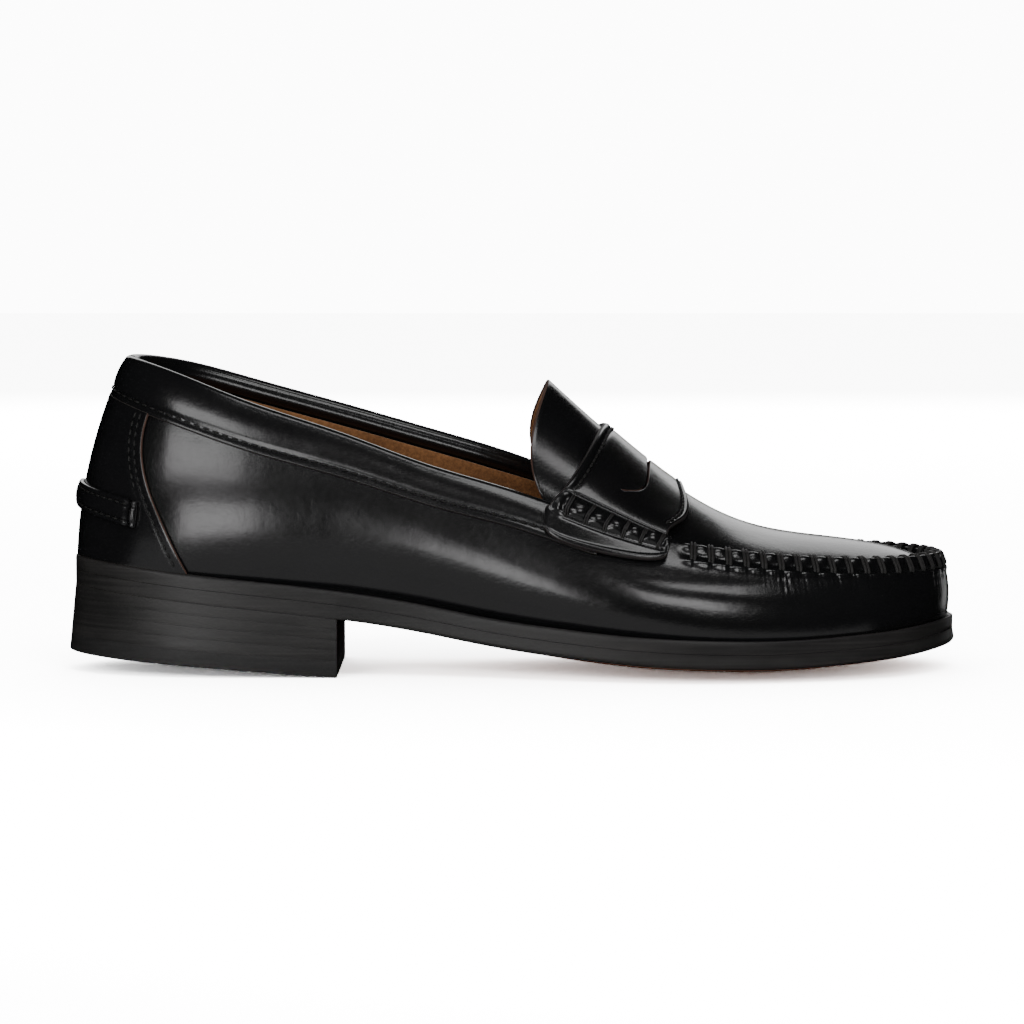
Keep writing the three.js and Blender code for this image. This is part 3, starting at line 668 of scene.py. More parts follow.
def stitch_tree(material):
    """Short stitches lying in the leather: a capsule on every point, x along the row and z up."""
    tree = Growth("row_of_stitches")
    length = tree.size("Length", 0.0024)
    radius = tree.size("Radius", 0.00028)
    seed = tree.size("Seed", 3, "NodeSocketInt")
    ball = tree.node("GeometryNodeMeshUVSphere", {}, {"Segments": 8, "Rings": 6, "Radius": 1.0})
    half = tree.node("ShaderNodeMath", {"operation": "MULTIPLY"}, {0: length, 1: 0.5})
    size = tree.node("ShaderNodeCombineXYZ", {}, {"X": half, "Y": radius, "Z": radius})
    shape = tree.node("GeometryNodeTransform", {}, {"Geometry": ball, "Scale": size})
    vector = {"data_type": "FLOAT_VECTOR"}
    along = tree.node("GeometryNodeInputNamedAttribute", vector, {"Name": "along"})
    up = tree.node("GeometryNodeInputNamedAttribute", vector, {"Name": "up"})
    first = tree.node("FunctionNodeAlignRotationToVector", {"axis": "Z"}, {"Vector": up})
    around_up = {"axis": "X", "pivot_axis": "Z"}
    turned = tree.node("FunctionNodeAlignRotationToVector", around_up, {"Rotation": first, "Vector": along})
    random = tree.node("FunctionNodeRandomValue", {"data_type": "FLOAT"}, {"Seed": seed}, 1)
    centred = tree.node("ShaderNodeMath", {"operation": "SUBTRACT"}, {0: random, 1: 0.5})
    slant = tree.node("ShaderNodeMath", {"operation": "MULTIPLY"}, {0: centred, 1: STITCH_LEAN})
    slant = tree.node("ShaderNodeCombineXYZ", {}, {"Z": slant})
    local = {"rotation_space": "LOCAL"}
    lean = tree.node("FunctionNodeRotateRotation", local, {"Rotation": turned, "Rotate By": slant})
    points = tree.node("GeometryNodeMeshToPoints", {}, {"Mesh": tree.start.outputs[0]})
    inputs = {"Points": points, "Instance": shape, "Rotation": lean}
    tree.finish(tree.node("GeometryNodeInstanceOnPoints", {}, inputs), material)
    return tree.tree


def strand_tree(material):
    """Thread laid along every edge chain: round, a little uneven, with closed ends."""
    tree = Growth("laid_thread")
    radius = tree.size("Radius", 0.0006)
    sides = tree.size("Sides", 8, "NodeSocketInt")
    seed = tree.size("Seed", 5.0)
    path = tree.node("GeometryNodeMeshToCurve", {}, {"Mesh": tree.start.outputs[0]})
    place = tree.node("GeometryNodeInputPosition", {}, {})
    inputs = {"Vector": place, "W": seed, "Scale": THREAD_UNEVENNESS, "Detail": 1.0}
    uneven = tree.node("ShaderNodeTexNoise", {"noise_dimensions": "4D"}, inputs)
    girth = tree.node("ShaderNodeMath", {"operation": "MULTIPLY_ADD"}, {0: uneven, 1: 0.5, 2: 0.75})
    sized = tree.node("GeometryNodeSetCurveRadius", {}, {"Curve": path, "Radius": girth})
    section = tree.node("GeometryNodeCurvePrimitiveCircle", {}, {"Resolution": sides, "Radius": radius})
    inputs = {"Curve": sized, "Profile Curve": section, "Scale": girth, "Fill Caps": True}
    tree.finish(tree.node("GeometryNodeCurveToMesh", {}, inputs), material)
    return tree.tree


def holder_of(name, points, edges=()):
    mesh = bpy.data.meshes.new(name)
    mesh.from_pydata(to_frame(points).tolist(), list(edges), [])
    holder = bpy.data.objects.new(name, mesh)
    bpy.context.scene.collection.objects.link(holder)
    return holder


def run_tree(holder, name, tree, sizes):
    """Runs a node tree over the holder's mesh and keeps the result as one plain mesh."""
    modifier = holder.modifiers.new("stitches", "NODES")
    modifier.node_group = tree
    named = {s.name: s.identifier for s in tree.interface.items_tree if s.in_out == "INPUT"}
    for label, value in sizes.items():
        modifier[named[label]] = value
    depsgraph = bpy.context.evaluated_depsgraph_get()
    grown = bpy.data.meshes.new_from_object(holder.evaluated_get(depsgraph))
    bpy.data.objects.remove(holder)
    grown.polygons.foreach_set("use_smooth", np.ones(len(grown.polygons), bool))
    piece = bpy.data.objects.new(name, grown)
    bpy.context.scene.collection.objects.link(piece)
    return piece


def grow(name, tree, rows, **sizes):
    """A row of single stitches on every row of points, as one piece."""
    points, along, up = (np.concatenate([row[k] for row in rows]) for k in range(3))
    holder = holder_of(name + "_points", points)
    for label, vectors in (("along", along), ("up", up)):
        attribute = holder.data.attributes.new(label, "FLOAT_VECTOR", "POINT")
        attribute.data.foreach_set("vector", unit(vectors).astype(np.float32).ravel())
    return finish_piece(run_tree(holder, name, tree, sizes), "thread_black")


def spin_threads(name, node, tree, strands, **sizes):
    """A thread along every strand's line of points, in place of a CAD node."""
    edges = []
    start = 0
    for strand in strands:
        edges += [(start + i, start + i + 1) for i in range(len(strand) - 1)]
        start += len(strand)
    holder = holder_of(name + "_lines", np.concatenate(strands), edges)
    return finish_piece(run_tree(holder, name, tree, sizes), "thread_black", node)


def row_on(face, low, high, pitch):
    """Points, directions and normals of even stitches on the line face(s, 0); face(s, 1) is 1 mm above it."""
    s = np.linspace(low, high, 1200)
    length = np.concatenate([[0], np.cumsum(np.linalg.norm(np.diff(face(s, 0), axis=0), axis=1))])
    count = max(1, int(length[-1] / pitch))
    s = np.interp((np.arange(count) + 0.5) * length[-1] / count, length, s)
    step = (high - low) * 1e-3
    return face(s, 0), face(s + step, 0) - face(s - step, 0), face(s, 1) - face(s, 0)


# ------------------------------------------------ moccasin ridge: where its stitches fall

RIDGE_START = 8.02
ridge_u = np.linspace(RIDGE_START, STATIONS - RIDGE_START, 3000)
ridge_length = np.concatenate([[0], np.cumsum(np.linalg.norm(np.diff(top_edge_at(ridge_u), axis=0), axis=1))])
WHIP_COUNT = int(round(ridge_length[-1] / WHIP_PITCH))
WHIP_STEP = ridge_length[-1] / WHIP_COUNT
rng = np.random.default_rng(11)
whip_depth = rng.uniform(0.4, 1.5, WHIP_COUNT + 2)
whip_reach = rng.uniform(0.5, 1.9, WHIP_COUNT + 2)
whip_lines = rng.uniform(3.0, 5.2, WHIP_COUNT + 2)
whip_shift = rng.uniform(-1.2, 1.2, WHIP_COUNT + 2)


def whip_phase(u):
    """Distance along the ridge in stitches: whole numbers are at the threads."""
    return np.interp(u, ridge_u, ridge_length) / WHIP_STEP - 0.5


def on_ridge(u):
    forward = forward_station(u)
    return smoothstep(forward, RIDGE_START - 0.12, RIDGE_START + 0.1)


def pucker(u, depth):
    """How far the wall stands out near the ridge: lumps between threads, creases running down from them."""
    phase = whip_phase(u)
    near = np.clip(np.round(phase).astype(int), 0, WHIP_COUNT)
    away = phase - np.round(phase)
    swell = np.sin(np.pi * np.abs(away)) ** 0.8
    rim = (0.95 * swell - 0.15) * np.exp(-((depth / 1.5) ** 4))
    pocket = -0.35 * swell * bump(depth, 2.9, 1.0)
    foot = (0.25 + 0.4 * swell) * bump(depth, 4.9, 1.0)
    reach = 3.0 * whip_reach[near]
    below = smoothstep(depth, 4.0, 5.2) * np.exp(-np.abs((depth - 5) / reach) ** 1.5)
    turn = 2 * np.pi * away * whip_lines[near] * 4.6 / (4 + 0.25 * depth)
    ripple = 0.6 + 0.4 * np.sin(1.9 * depth + 3 * whip_shift[near])
    fan = np.cos(turn + whip_shift[near]) + 0.6 * np.cos(1.7 * turn - 2 * whip_shift[near] + 0.7 * depth)
    creases = 0.09 * whip_depth[near] * (fan * ripple) * below * np.exp(-((away / 0.44) ** 4))
    draw = -0.13 * whip_depth[near] * bump(away, 0, 0.2)
    draw = draw * smoothstep(depth, 3.8, 5) * np.exp(-(depth - 4) / 3)
    return (rim + pocket + foot + creases + draw) * on_ridge(u)


# ------------------------------------------------ upper

def side_wall():
    rear = np.arange(0.03, 7.9, 1 / 14)
    front = np.linspace(7.9, 16.1, 681)
    columns = np.concatenate([rear, front, STATIONS - rear[::-1]])
    heights = 1 - np.concatenate([[0, 0.006, 0.015], np.linspace(0.03, 0.46, 32), np.linspace(0.5, 1.01, 12)])

    def face(u, v):
        depth = (1 - v) * wall_height(u)
        ahead = forward_station(u)
        crease = -0.5 * bump(depth, 11.6 - 1.9 * (ahead - 8), 3.1)
        crease = crease * smoothstep(ahead, 6.9, 7.9) * (1 - smoothstep(ahead, 8.6, 9.8))
        return wall(u, v, pucker(u, depth) + crease * (u < TOE))

    front_sheet = grid_of(face, columns, heights)
    back_sheet = grid_of(lambda u, v: wall(u, v, -UPPER_LEATHER), columns, heights)
    piece = shell("side_wall_leather", front_sheet, back_sheet, CALF, under=RAW)
    return finish_piece(piece, "upper_leather", "side_wall")


def apron():
    """The apron with its turned-up lip in front and the free tongue behind."""
    columns = np.concatenate([np.linspace(TONGUE_END, 8, 50), np.linspace(8.01, TOE, 230)])
    across = np.sin(np.radians(steps(-90, 90, 72)))[1:-1]

    def sheet(thick):
        rows = []
        for u in columns:
            sides = []
            for s in (u, STATIONS - u):
                drop, inset = ridge_drop(s), ridge_inset(s)
                phase = whip_phase(np.array(s))
                wave = 0.35 * math.cos(2 * math.pi * float(phase)) * float(on_ridge(np.array(s)))
                out = outward(np.array(s))
                foot = apron_foot(np.array(s), inset, drop)
                lip = []
                for share in (1.0, 0.9, 0.72, 0.5, 0.3, 0.14):
                    slope = 0.5 * (1 - share) ** 2
                    point = foot - out * slope + out * (thick + 0.25 + wave * share * 0.5)
                    point = point + np.array([0, 0, share * (drop - 0.6) - 0.5 * thick * (1 - share)])
                    lip.append(point)
                sides.append(np.array(lip))
            field = arch(np.full(across.shape, u), across, -thick)
            rows.append(np.concatenate([sides[0], field, sides[1][::-1]]))
        return np.array(rows)

    piece = shell("apron_leather", sheet(0.0), sheet(UPPER_LEATHER), CALF, RAW, CALF, RAW)
    return finish_piece(piece, "upper_leather", "apron")


def tongue_lining():
    columns = np.linspace(TONGUE_END + 0.01, 7.35, 40)
    across = np.sin(np.radians(steps(-76, 76, 60)))
    top = UPPER_LEATHER + 0.05

    def sheet(distance):
        return grid_of(lambda u, t: arch(u, t, distance), columns, across)

    piece = shell("tongue_lining_leather", sheet(-top - 0.8), sheet(-top), LINING, RAW)
    return finish_piece(piece, "lining_leather", "tongue_lining")


def quarter_lining():
    columns = np.linspace(-7.34, 7.34, 240)
    shares = steps(0, 1, 24)

    def sheet(distance):
        def point(u, s):
            height = wall_height(u)
            low = LINING_FOOT / height
            high = 1 - (5.8 - 1.4 * smoothstep(np.abs(u), 5.6, 6.8)) / height
            return wall(u, low + (high - low) * s, distance)
        return grid_of(point, columns, shares)

    inner, outer = sheet(-LINING_DEPTH - LINING_LEATHER), sheet(-LINING_DEPTH)
    piece = shell("quarter_lining_leather", inner, outer, LINING)
    return finish_piece(piece, "lining_leather", "quarter_lining")


def vamp_lining():
    across = np.sin(np.radians(steps(-62, 62, 40)))
    columns = np.linspace(7.667, TOE, 90)
    shares = steps(0, 1, 12)

    def sheet(distance):
        rows = []
        for u in columns:
            sides = []
            for s in (u, STATIONS - u):
                height = wall_height(np.array(s))
                v = LINING_FOOT / height + (0.78 - LINING_FOOT / height) * shares
                sides.append(wall(np.full(v.shape, s), v, -distance))
            field = arch(np.full(across.shape, u), across, -distance)
            rows.append(np.concatenate([sides[0], field, sides[1][::-1]]))
        return np.array(rows)

    piece = shell("vamp_lining_leather", sheet(LINING_DEPTH + LINING_LEATHER), sheet(LINING_DEPTH), LINING)
    return finish_piece(piece, "lining_leather", "vamp_lining")


# ------------------------------------------------ collar band

BAND_END = 6.93
band_width = line_through(BAND_WIDTH)


def band_low(u):
    return 1 - band_width(np.abs(u)) / wall_height(u)


def collar_band():
    """Folded over the collar line: outer flap, soft roll, inner flap."""
    columns = np.linspace(-BAND_END, BAND_END, 420)
    middle = -UPPER_LEATHER / 2

    def sheet(radius, puff):
        rows = []
        for u in columns:
            fade = float(1 - smoothstep(abs(u), 6.45, 6.8))
            height = float(wall_height(np.array(u)))
            low = float(band_low(np.array(u)))
            v = low + (1 - low) * np.concatenate([[0, 0.03], steps(0.08, 1, 16)])
            depth = (1 - v) * height
            width = float(band_width(abs(u)))
            away = radius + puff * (
                0.55 * np.sin(np.pi * np.clip(1 - depth / (width - 2.4), 0, 1)) ** 0.8
                - 0.28 * bump(depth, width - 2.3, 0.7)
            )
            outer = wall(np.full(v.shape, u), v, middle + away)
            angles = np.radians(steps(0, 180, 12))[1:-1]
            tall = radius * (0.5 + 0.5 * fade)
            base = wall(np.full(angles.shape, u), np.ones(angles.shape), middle + radius * np.cos(angles))
            rim = base + rim_up(np.array(u)) * (tall * np.sin(angles))[:, None]
            v_in = steps(1, 1 - (7.2 * fade + 0.4) / height, 14)
            pillow = np.sin(np.pi * np.clip((1 - v_in) * height / 5.4, 0, 1)) ** 0.9
            inner = wall(np.full(v_in.shape, u), v_in, middle - radius - 1.1 * puff * fade * pillow)
            rows.append(np.concatenate([outer, rim, inner]))
        return np.array(rows)

    piece = shell("collar_band_leather", sheet(2.0, 1.0), sheet(1.0, 0.0), CALF, INKED, INKED, RAW)
    return finish_piece(piece, "upper_leather", "collar_band")


def band_stitches(tree):
    """One row a little above the band's lower edge."""
    def face(s, lift):
        return wall(s, band_low(s) + 2.2 / wall_height(s), 1.42 + lift)

    row = row_on(face, -BAND_END + 0.1, BAND_END - 0.1, 3.4)
    grow("collar_band_stitches", tree, [row], Length=0.0024, Radius=0.00036)


# ------------------------------------------------ heel foxing and tab

FOXING_FACE = 1.5


def heel_foxing():
    shares = steps(-1, 1, 160)
    rows = edge_steps(0.0, 1.0, 50)

    def sheet(distance, pressed):
        def point(r, c):
            top = band_low(c * 1.6) + 0.001
            v = 0.005 + r * (top - 0.005)
            reach = foxing_reach(v)
            edge = (1 - np.abs(c)) * reach * STATION_AT_HEEL
            groove = -0.12 * bump(edge, 2.4, 0.6) - 0.12 * bump(edge, 4.6, 0.6) * smoothstep(v, 0.33, 0.38)
            return wall(c * reach, v, distance + pressed * groove)
        return grid_of(point, rows, shares)

    piece = shell("heel_foxing_leather", sheet(FOXING_FACE, 1.0), sheet(0.5, 0.0), CALF, INKED, RAW, RAW)
    return finish_piece(piece, "upper_leather", "heel_foxing")


def foxing_stitches(tree):
    """Two rows along each front edge of the foxing; the inner row starts higher up."""
    rows = []
    for side in (-1, 1):
        for back, low in ((2.4, 0.03), (4.6, 0.4)):
            def face(v, lift, side=side, back=back):
                u = side * (foxing_reach(v) - back / STATION_AT_HEEL)
                return wall(u, v, FOXING_FACE + 0.02 + lift)

            rows.append(row_on(face, low, 0.78, 2.9))
    grow("foxing_stitches", tree, rows, Length=0.0023, Radius=0.00036)


TAB_REACH = 1.64


def tab_level(u, share):
    """Share of the wall's height at a share of the heel tab's width; its ends droop a little."""
    droop = np.abs(u) / TAB_REACH
    low = 0.272 - 0.062 * droop
    return low + (0.1 + 0.026 * droop) * share


def heel_tab():
    """A strip folded double, its long edges pressed thin by the stitching."""
    columns = edge_steps(-TAB_REACH, TAB_REACH, 90)
    shares = steps(0, 1, 22)

    def sheet(distance, pressed):
        def point(u, s):
            v = tab_level(u, s)
            edge = np.minimum(s, 1 - s) * 7
            ends = (TAB_REACH - np.abs(u)) * 22
            groove = -0.45 * bump(edge, 1.1, 0.45) - 0.35 * bump(ends, 1.6, 0.6)
            crown = 0.5 * np.sin(np.pi * s) ** 0.7
            return wall(u, v, distance + pressed * (groove + crown))
        return grid_of(point, columns, shares)

    front, back = sheet(FOXING_FACE + 1.9, 1.0), sheet(FOXING_FACE + 0.1, 0.0)
    piece = shell("heel_tab_leather", front, back, CALF)
    return finish_piece(piece, "upper_leather", "heel_tab")


def tab_stitches(tree):
    """A row along each long edge of the heel tab."""
    rows = []
    for share in (0.155, 0.845):
        def face(u, lift, share=share):
            return wall(u, tab_level(u, share), FOXING_FACE + 1.85 + lift)

        rows.append(row_on(face, -TAB_REACH + 0.08, TAB_REACH - 0.08, 3.0))
    grow("heel_tab_stitches", tree, rows, Length=0.0022, Radius=0.00034)


# ------------------------------------------------ penny strap

STRAP_LEATHER = 1.6
ROLL_STITCHES = 6

strap_rear = line_through(STRAP_REAR)
strap_front = line_through(STRAP_FRONT)


def strap_base(share, w, lift):
    """Underside of the strap: share runs from its rear to its front edge, w across the foot from -1 to 1."""
    share, w = np.broadcast_arrays(np.asarray(share, float), np.asarray(w, float))
    far = np.abs(w)
    rear, front = strap_rear(far), strap_front(far)
    u = rear + (front - rear) * share
    clear = 0.35 + 1.5 * smoothstep(far, 0.35, STRAP_BEND)
    over = np.clip((far - STRAP_BEND) / (1 - STRAP_BEND), 0, 1)
    corner = (1 - np.abs(2 * share - 1) ** 4) ** 0.25
    depth = (10.6 - 3.3 * share) * over * (0.3 + 0.7 * corner)
    t = np.sin(np.clip(w / STRAP_BEND, -1, 1) * (np.pi / 2))
    saddle = arch(u, t, clear + lift, 0.0, 0.0)
    station = np.where(w < 0, u, STATIONS - u)
    tab = wall(station, 1 - depth / wall_height(station), clear + lift)
    return np.where((far <= STRAP_BEND)[..., None], saddle, tab)


DOWN_SHARES = np.linspace(0, 1, 21)
DOWN_REACH = np.linspace(0, 1, 301)


def lengths_down():
    """Millimetres down the strap from the ridge, for every share and reach."""
    rows = []
    for share in DOWN_SHARES:
        line = strap_base(share, -DOWN_REACH, STRAP_LEATHER)
        length = np.concatenate([[0], np.cumsum(np.linalg.norm(np.diff(line, axis=0), axis=1))])
        rows.append(length - np.interp(STRAP_BEND, DOWN_REACH, length))
    return np.array(rows)


LENGTHS_DOWN = lengths_down()


def down_strap(share, far):
    """Distance down from the ridge at a share and reach of the strap."""
    s = np.clip(share, 0, 1) * (len(DOWN_SHARES) - 1)
    f = np.clip(far, 0, 1) * (len(DOWN_REACH) - 1)
    i = np.minimum(s.astype(int), len(DOWN_SHARES) - 2)
    j = np.minimum(f.astype(int), len(DOWN_REACH) - 2)
    s, f = s - i, f - j
    near = LENGTHS_DOWN[i, j] * (1 - f) + LENGTHS_DOWN[i, j + 1] * f
    next_one = LENGTHS_DOWN[i + 1, j] * (1 - f) + LENGTHS_DOWN[i + 1, j + 1] * f
    return near * (1 - s) + next_one * s


def roll_middle(share):
    return -3.2 + 5.2 * share


def roll_half(share):
    return 4.1 - 1.2 * share


def roll_marks(across):
    """Share of the strap at the roll's first thread, and the step to the next; the threads lean a little."""
    lean = np.clip(across / 2 + 0.5, 0, 1)
    return 0.088 + 0.046 * lean, 0.176 - 0.026 * lean


def strap_width(far):
    return (strap_front(far) - strap_rear(far)) * STATION_AT_STRAP


def strap_relief(share, w, pinched=1.0):
    """Rolled long edges, the row pressed in by the stitching, and the whipped roll over the ridge."""
    far = np.abs(w)
    share, far = np.broadcast_arrays(np.asarray(share, float), far)
    edge = np.minimum(share, 1 - share) * strap_width(far)
    rolled = 0.36 * np.exp(-((edge - 0.5) / 0.52) ** 2) - 0.2 * bump(edge, 1.9, 0.65)
    rolled = rolled * (1 - smoothstep(far, 0.56, 0.63))
    down = down_strap(share, far)
    across = (down - roll_middle(share)) / roll_half(share)
    first, step = roll_marks(across)
    phase = (share - first) / step
    away = np.abs(phase - np.round(phase))
    inside = 1 - smoothstep(phase, ROLL_STITCHES - 0.9, ROLL_STITCHES - 0.55)
    inside = smoothstep(phase, -0.45, -0.1) * inside
    swell = np.sin(np.pi * np.clip(away, 0, 0.5)) ** 0.7
    dome = np.maximum(0, 1 - across ** 2) ** 0.8
    roll = inside * dome * (0.2 + 1.5 * (1 - pinched + pinched * swell))
    crease = -0.5 * bump(across, -1.28, 0.16) * inside - 0.3 * bump(across, 1.25, 0.2) * inside
    tab_rim = smoothstep(far, 0.76, 0.8) * 0.28
    return rolled + roll + crease + tab_rim * tab_edge(share, far)


def tab_edge(share, far):
    """One close to the tab's cut edge, nought inside."""
    over = np.clip((far - STRAP_BEND) / (1 - STRAP_BEND), 0, 1)
    side = np.minimum(share, 1 - share) * 40
    foot = (1 - over) * 10
    return np.maximum(bump(side, 0.9, 0.7), bump(foot, 0.8, 0.7))


def strap_point(share, w, lift, pinched=1.0):
    return strap_base(share, w, lift + strap_relief(share, w, pinched))


SLOT = [(0, 0.528), (0.15, 0.521), (0.28, 0.53), (0.35, 0.525), (0.42, 0.475), (0.47, 0.375)]
slot_middle = line_through(SLOT)


def penny_strap():
    tab = np.linspace(0.6, 1, 100)
    across = np.concatenate([np.linspace(-1, -0.6, 100), np.linspace(-0.59, 0.59, 140), tab])
    shares = np.concatenate([[0, 0.008], np.linspace(0.02, 0.98, 120), [0.992, 1]])
    front = grid_of(lambda w, s: strap_point(s, w, STRAP_LEATHER), across, shares)
    back = grid_of(lambda w, s: strap_base(s, w, 0.0), across, shares)
    piece = shell("penny_strap_leather", front, back, CALF, INKED, INKED, RAW)
    cutter = slot_cutter()
    cut = piece.modifiers.new("slot", "BOOLEAN")
    cut.operation = "DIFFERENCE"
    cut.solver = "EXACT"
    cut.object = cutter
    depsgraph = bpy.context.evaluated_depsgraph_get()
    mesh = bpy.data.meshes.new_from_object(piece.evaluated_get(depsgraph))
    piece.modifiers.clear()
    piece.data = mesh
    bpy.data.objects.remove(cutter)
    return finish_piece(piece, "upper_leather", "penny_strap")


def slot_cutter():
    """The crescent slit across the strap, a little open at the crest, with a round hole at each end."""
    w = np.linspace(-0.475, 0.475, 140)
    middle = slot_middle(np.abs(w))
    half = 0.01 + 0.011 * bump(w, 0, 0.2) + 0.02 * bump(w, 0, 0.025) + 0.009 * bump(np.abs(w), 0.468, 0.008)
    shares = np.stack([middle - half, middle, middle + half], -1)
    grid_w = np.repeat(w[:, None], 3, 1)
    front = strap_base(shares, grid_w, STRAP_LEATHER + 2.0)
    back = strap_base(shares, grid_w, -1.2)
    return shell("slot_cutter", front, back, RAW, rim=[])


def strap_stitches(tree):
    """A row inside each rolled edge of the strap."""
    rows = []
    for edge, inward in ((0, 1.9), (1, -1.9)):
        def face(w, lift, edge=edge, inward=inward):
            return strap_point(edge + inward / strap_width(np.abs(w)), w, STRAP_LEATHER + 0.26 + lift)

        rows.append(row_on(face, -0.6, 0.6, 2.7))
    grow("strap_edge_stitches", tree, rows, Length=0.0023, Radius=0.0005)


def roll_strand(order, offset, side):
    """One strand of a whip stitch: up from the crease, over the roll, down into the tab."""
    across = np.linspace(-1.28, 1.3, 26)
    first, step = roll_marks(across)
    share = first + step * order + offset / 40
    down = roll_middle(share) + roll_half(share) * across
    reach = [np.interp(d, LENGTHS_DOWN[int(round(s * 20))], DOWN_REACH) for s, d in zip(share, down)]
    bury = 1.1 * smoothstep(np.abs(across), 1.08, 1.3)
    return strap_point(share, side * np.array(reach), STRAP_LEATHER + 0.3 - bury, 0.8)


def roll_stitches(tree):
    """Six double whip stitches over each roll of the strap."""
    for place, side in (("outer", -1), ("inner", 1)):
        strands = [roll_strand(k, offset, side) for k in range(ROLL_STITCHES) for offset in (-0.33, 0.33)]
        spin_threads(f"strap_whip_{place}", f"strap_thread_{place}", tree, strands, Radius=0.00033)


# ------------------------------------------------ whip stitches of the ridge

def ridge_strand(order, offset):
    """One strand of a ridge stitch: out of the wall, over the ridge, down inside the apron's lip."""
    q = np.linspace(0, 1, 22)
    u = np.interp((order + 0.5) * WHIP_STEP + offset + 0.9 * (q - 0.5), ridge_length, ridge_u)
    depth = 4.7 * np.clip(1 - q / 0.55, 0, 1) ** 1.15
    outside = wall(u, 1 - depth / wall_height(u), 0.42 - 1.0 * smoothstep(1 - q, 0.88, 1))
    turn = smoothstep(q, 0.5, 0.95)
    over = top_edge_at(u) - outward(u) * (turn * (RIDGE_INSET + 0.25))[:, None]
    over[:, 2] += 0.75 * np.sin(np.pi * np.clip(turn, 0, 1)) - 2.6 * smoothstep(q, 0.78, 1)
    share = smoothstep(q, 0.45, 0.62)[:, None]
    return outside * (1 - share) + over * share


def ridge_stitches(tree):
    strands = [ridge_strand(k, offset) for k in range(WHIP_COUNT) for offset in (-0.55, 0.55)]
    spin_threads("moc_seam_whip", "moc_seam_thread", tree, strands, Radius=0.00058)


# ------------------------------------------------ sole and heel

def closed_loop(count):
    """Stations of a full turn round the sole, paired outer with inner."""
    half = np.linspace(0, TOE, count // 2 + 1)
    return np.concatenate([half, STATIONS - half[-2:0:-1]])


def ring(u, inset, height):
    points = edge_inset(u, inset)
    points[..., 2] = height(points[..., 0], points[..., 1])
    return points


def above_bed(lift):
    return lambda x, y: bed(x, y) + lift


def plate(name, rings, top, bottom, finishes, marks=None, across=10):
    """A closed plate from a stack of rings, filled by ribs at two heights off the bed.

    The finishes are for the sides, the top and the bottom; marks picks one for each belt of the sides."""
    ids, sides = belts(rings)
    points = [rings.reshape(-1, 3)]
    faces = [sides.reshape(-1, 4)]
    which = [np.repeat(marks or [0] * len(sides), rings.shape[1])]
    start = ids.size
    pair = np.arange(rings.shape[1] // 2 + 1)
    for loop, lift, mark in ((rings[0], top, 1), (rings[-1], bottom, 2)):
        outer, inner = loop[pair], loop[-pair]
        rib = outer[:, None] + (inner - outer)[:, None] * steps(0, 1, across)[None, :, None]
        rib[:, 1:-1, 2] = above_bed(lift)(rib[:, 1:-1, 0], rib[:, 1:-1, 1])
        quads = quads_of(start + np.arange(rib.shape[0] * rib.shape[1]).reshape(rib.shape[:2]))
        faces.append(quads if mark == 1 else quads[:, ::-1])
        which.append(np.full(len(quads), mark))
        points.append(rib.reshape(-1, 3))
        start += rib.shape[0] * rib.shape[1]
    points, faces, which = (np.concatenate(lists) for lists in (points, faces, which))
    return mesh_piece(name, points, faces.tolist(), finishes, which, sharp=0.7)


def seat_inset(u, share):
    forward = forward_station(u)
    return SEAT_FLARE * (1 - share) * np.maximum(0, 1 - (forward / HEEL_STATION) ** 2)


def midsole():
    """Upper half of the sole edge, with a small lip that stands up round the upper."""
    u = closed_loop(480)
    seat = seat_inset(u, 0.0)

    rings = [ring(u, seat + inset, above_bed(lift)) for inset, lift in (
        (6.0, 0.0), (3.2, -0.1), (2.5, -0.3), (2.0, -0.1), (1.5, 0.35), (1.0, 0.5), (0.5, 0.4),
        (0.15, 0.05), (0.0, -0.5), (0.0, -1.6), (0.0, -2.8), (0.0, -4.1), (0.08, -4.17), (2.5, -4.18),
    )]
    piece = plate("midsole_leather", np.array(rings), 0.0, -4.18, [EDGE, BOARD, EDGE])
    return finish_piece(piece, "edge_black", "midsole")


def outsole():
    """Lower half of the sole edge; its face is natural leather inside a stained margin."""
    u = closed_loop(480)
    seat = seat_inset(u, 0.0)

    profile = (
        (2.5, -4.2), (0.08, -4.21), (0.0, -4.28), (0.0, -5.2), (-0.1, -6.4), (-0.2, -7.6), (-0.1, -8.2),
        (0.35, -8.75), (0.9, -8.95), (2.2, -9.0), (5.0, -9.0),
    )
    flare = smoothstep(forward_station(u), 7.5, 11)
    ahead = smoothstep(forward_station(u), 3.9, 4.4)
    rings = []
    for inset, lift in profile:
        if inset < 0:
            shift = inset * (0.3 + 2.2 * flare) * ahead
        elif -8.98 < lift < -8:
            shift = inset * (0.06 + 0.94 * ahead)
        else:
            shift = inset + 0 * u
        rings.append(ring(u, seat + shift, above_bed(lift)))
    marks = [0] * 8 + [2, 2]
    finishes = [EDGE, EDGE, TREAD_LEATHER]
    piece = plate("outsole_leather", np.array(rings), -MIDSOLE_THICKNESS, -SOLE_THICKNESS, finishes, marks)
    return finish_piece(piece, "sole_leather", "outsole")


def heel_loop(inset_share, inset, height):
    """The heel's outline at one level: round the back, then straight across the breast."""
    u = np.linspace(-HEEL_STATION, HEEL_STATION, 161)
    curve = edge_inset(u, seat_inset(np.abs(u), inset_share) + inset)
    breast = curve[-1] + (curve[0] - curve[-1]) * steps(0, 1, 24)[1:-1, None]
    loop = np.concatenate([curve, breast])
    loop[:, 0] = np.minimum(loop[:, 0], HEEL_LENGTH - inset)
    loop[:, 2] = height(loop[:, 0])
    return loop


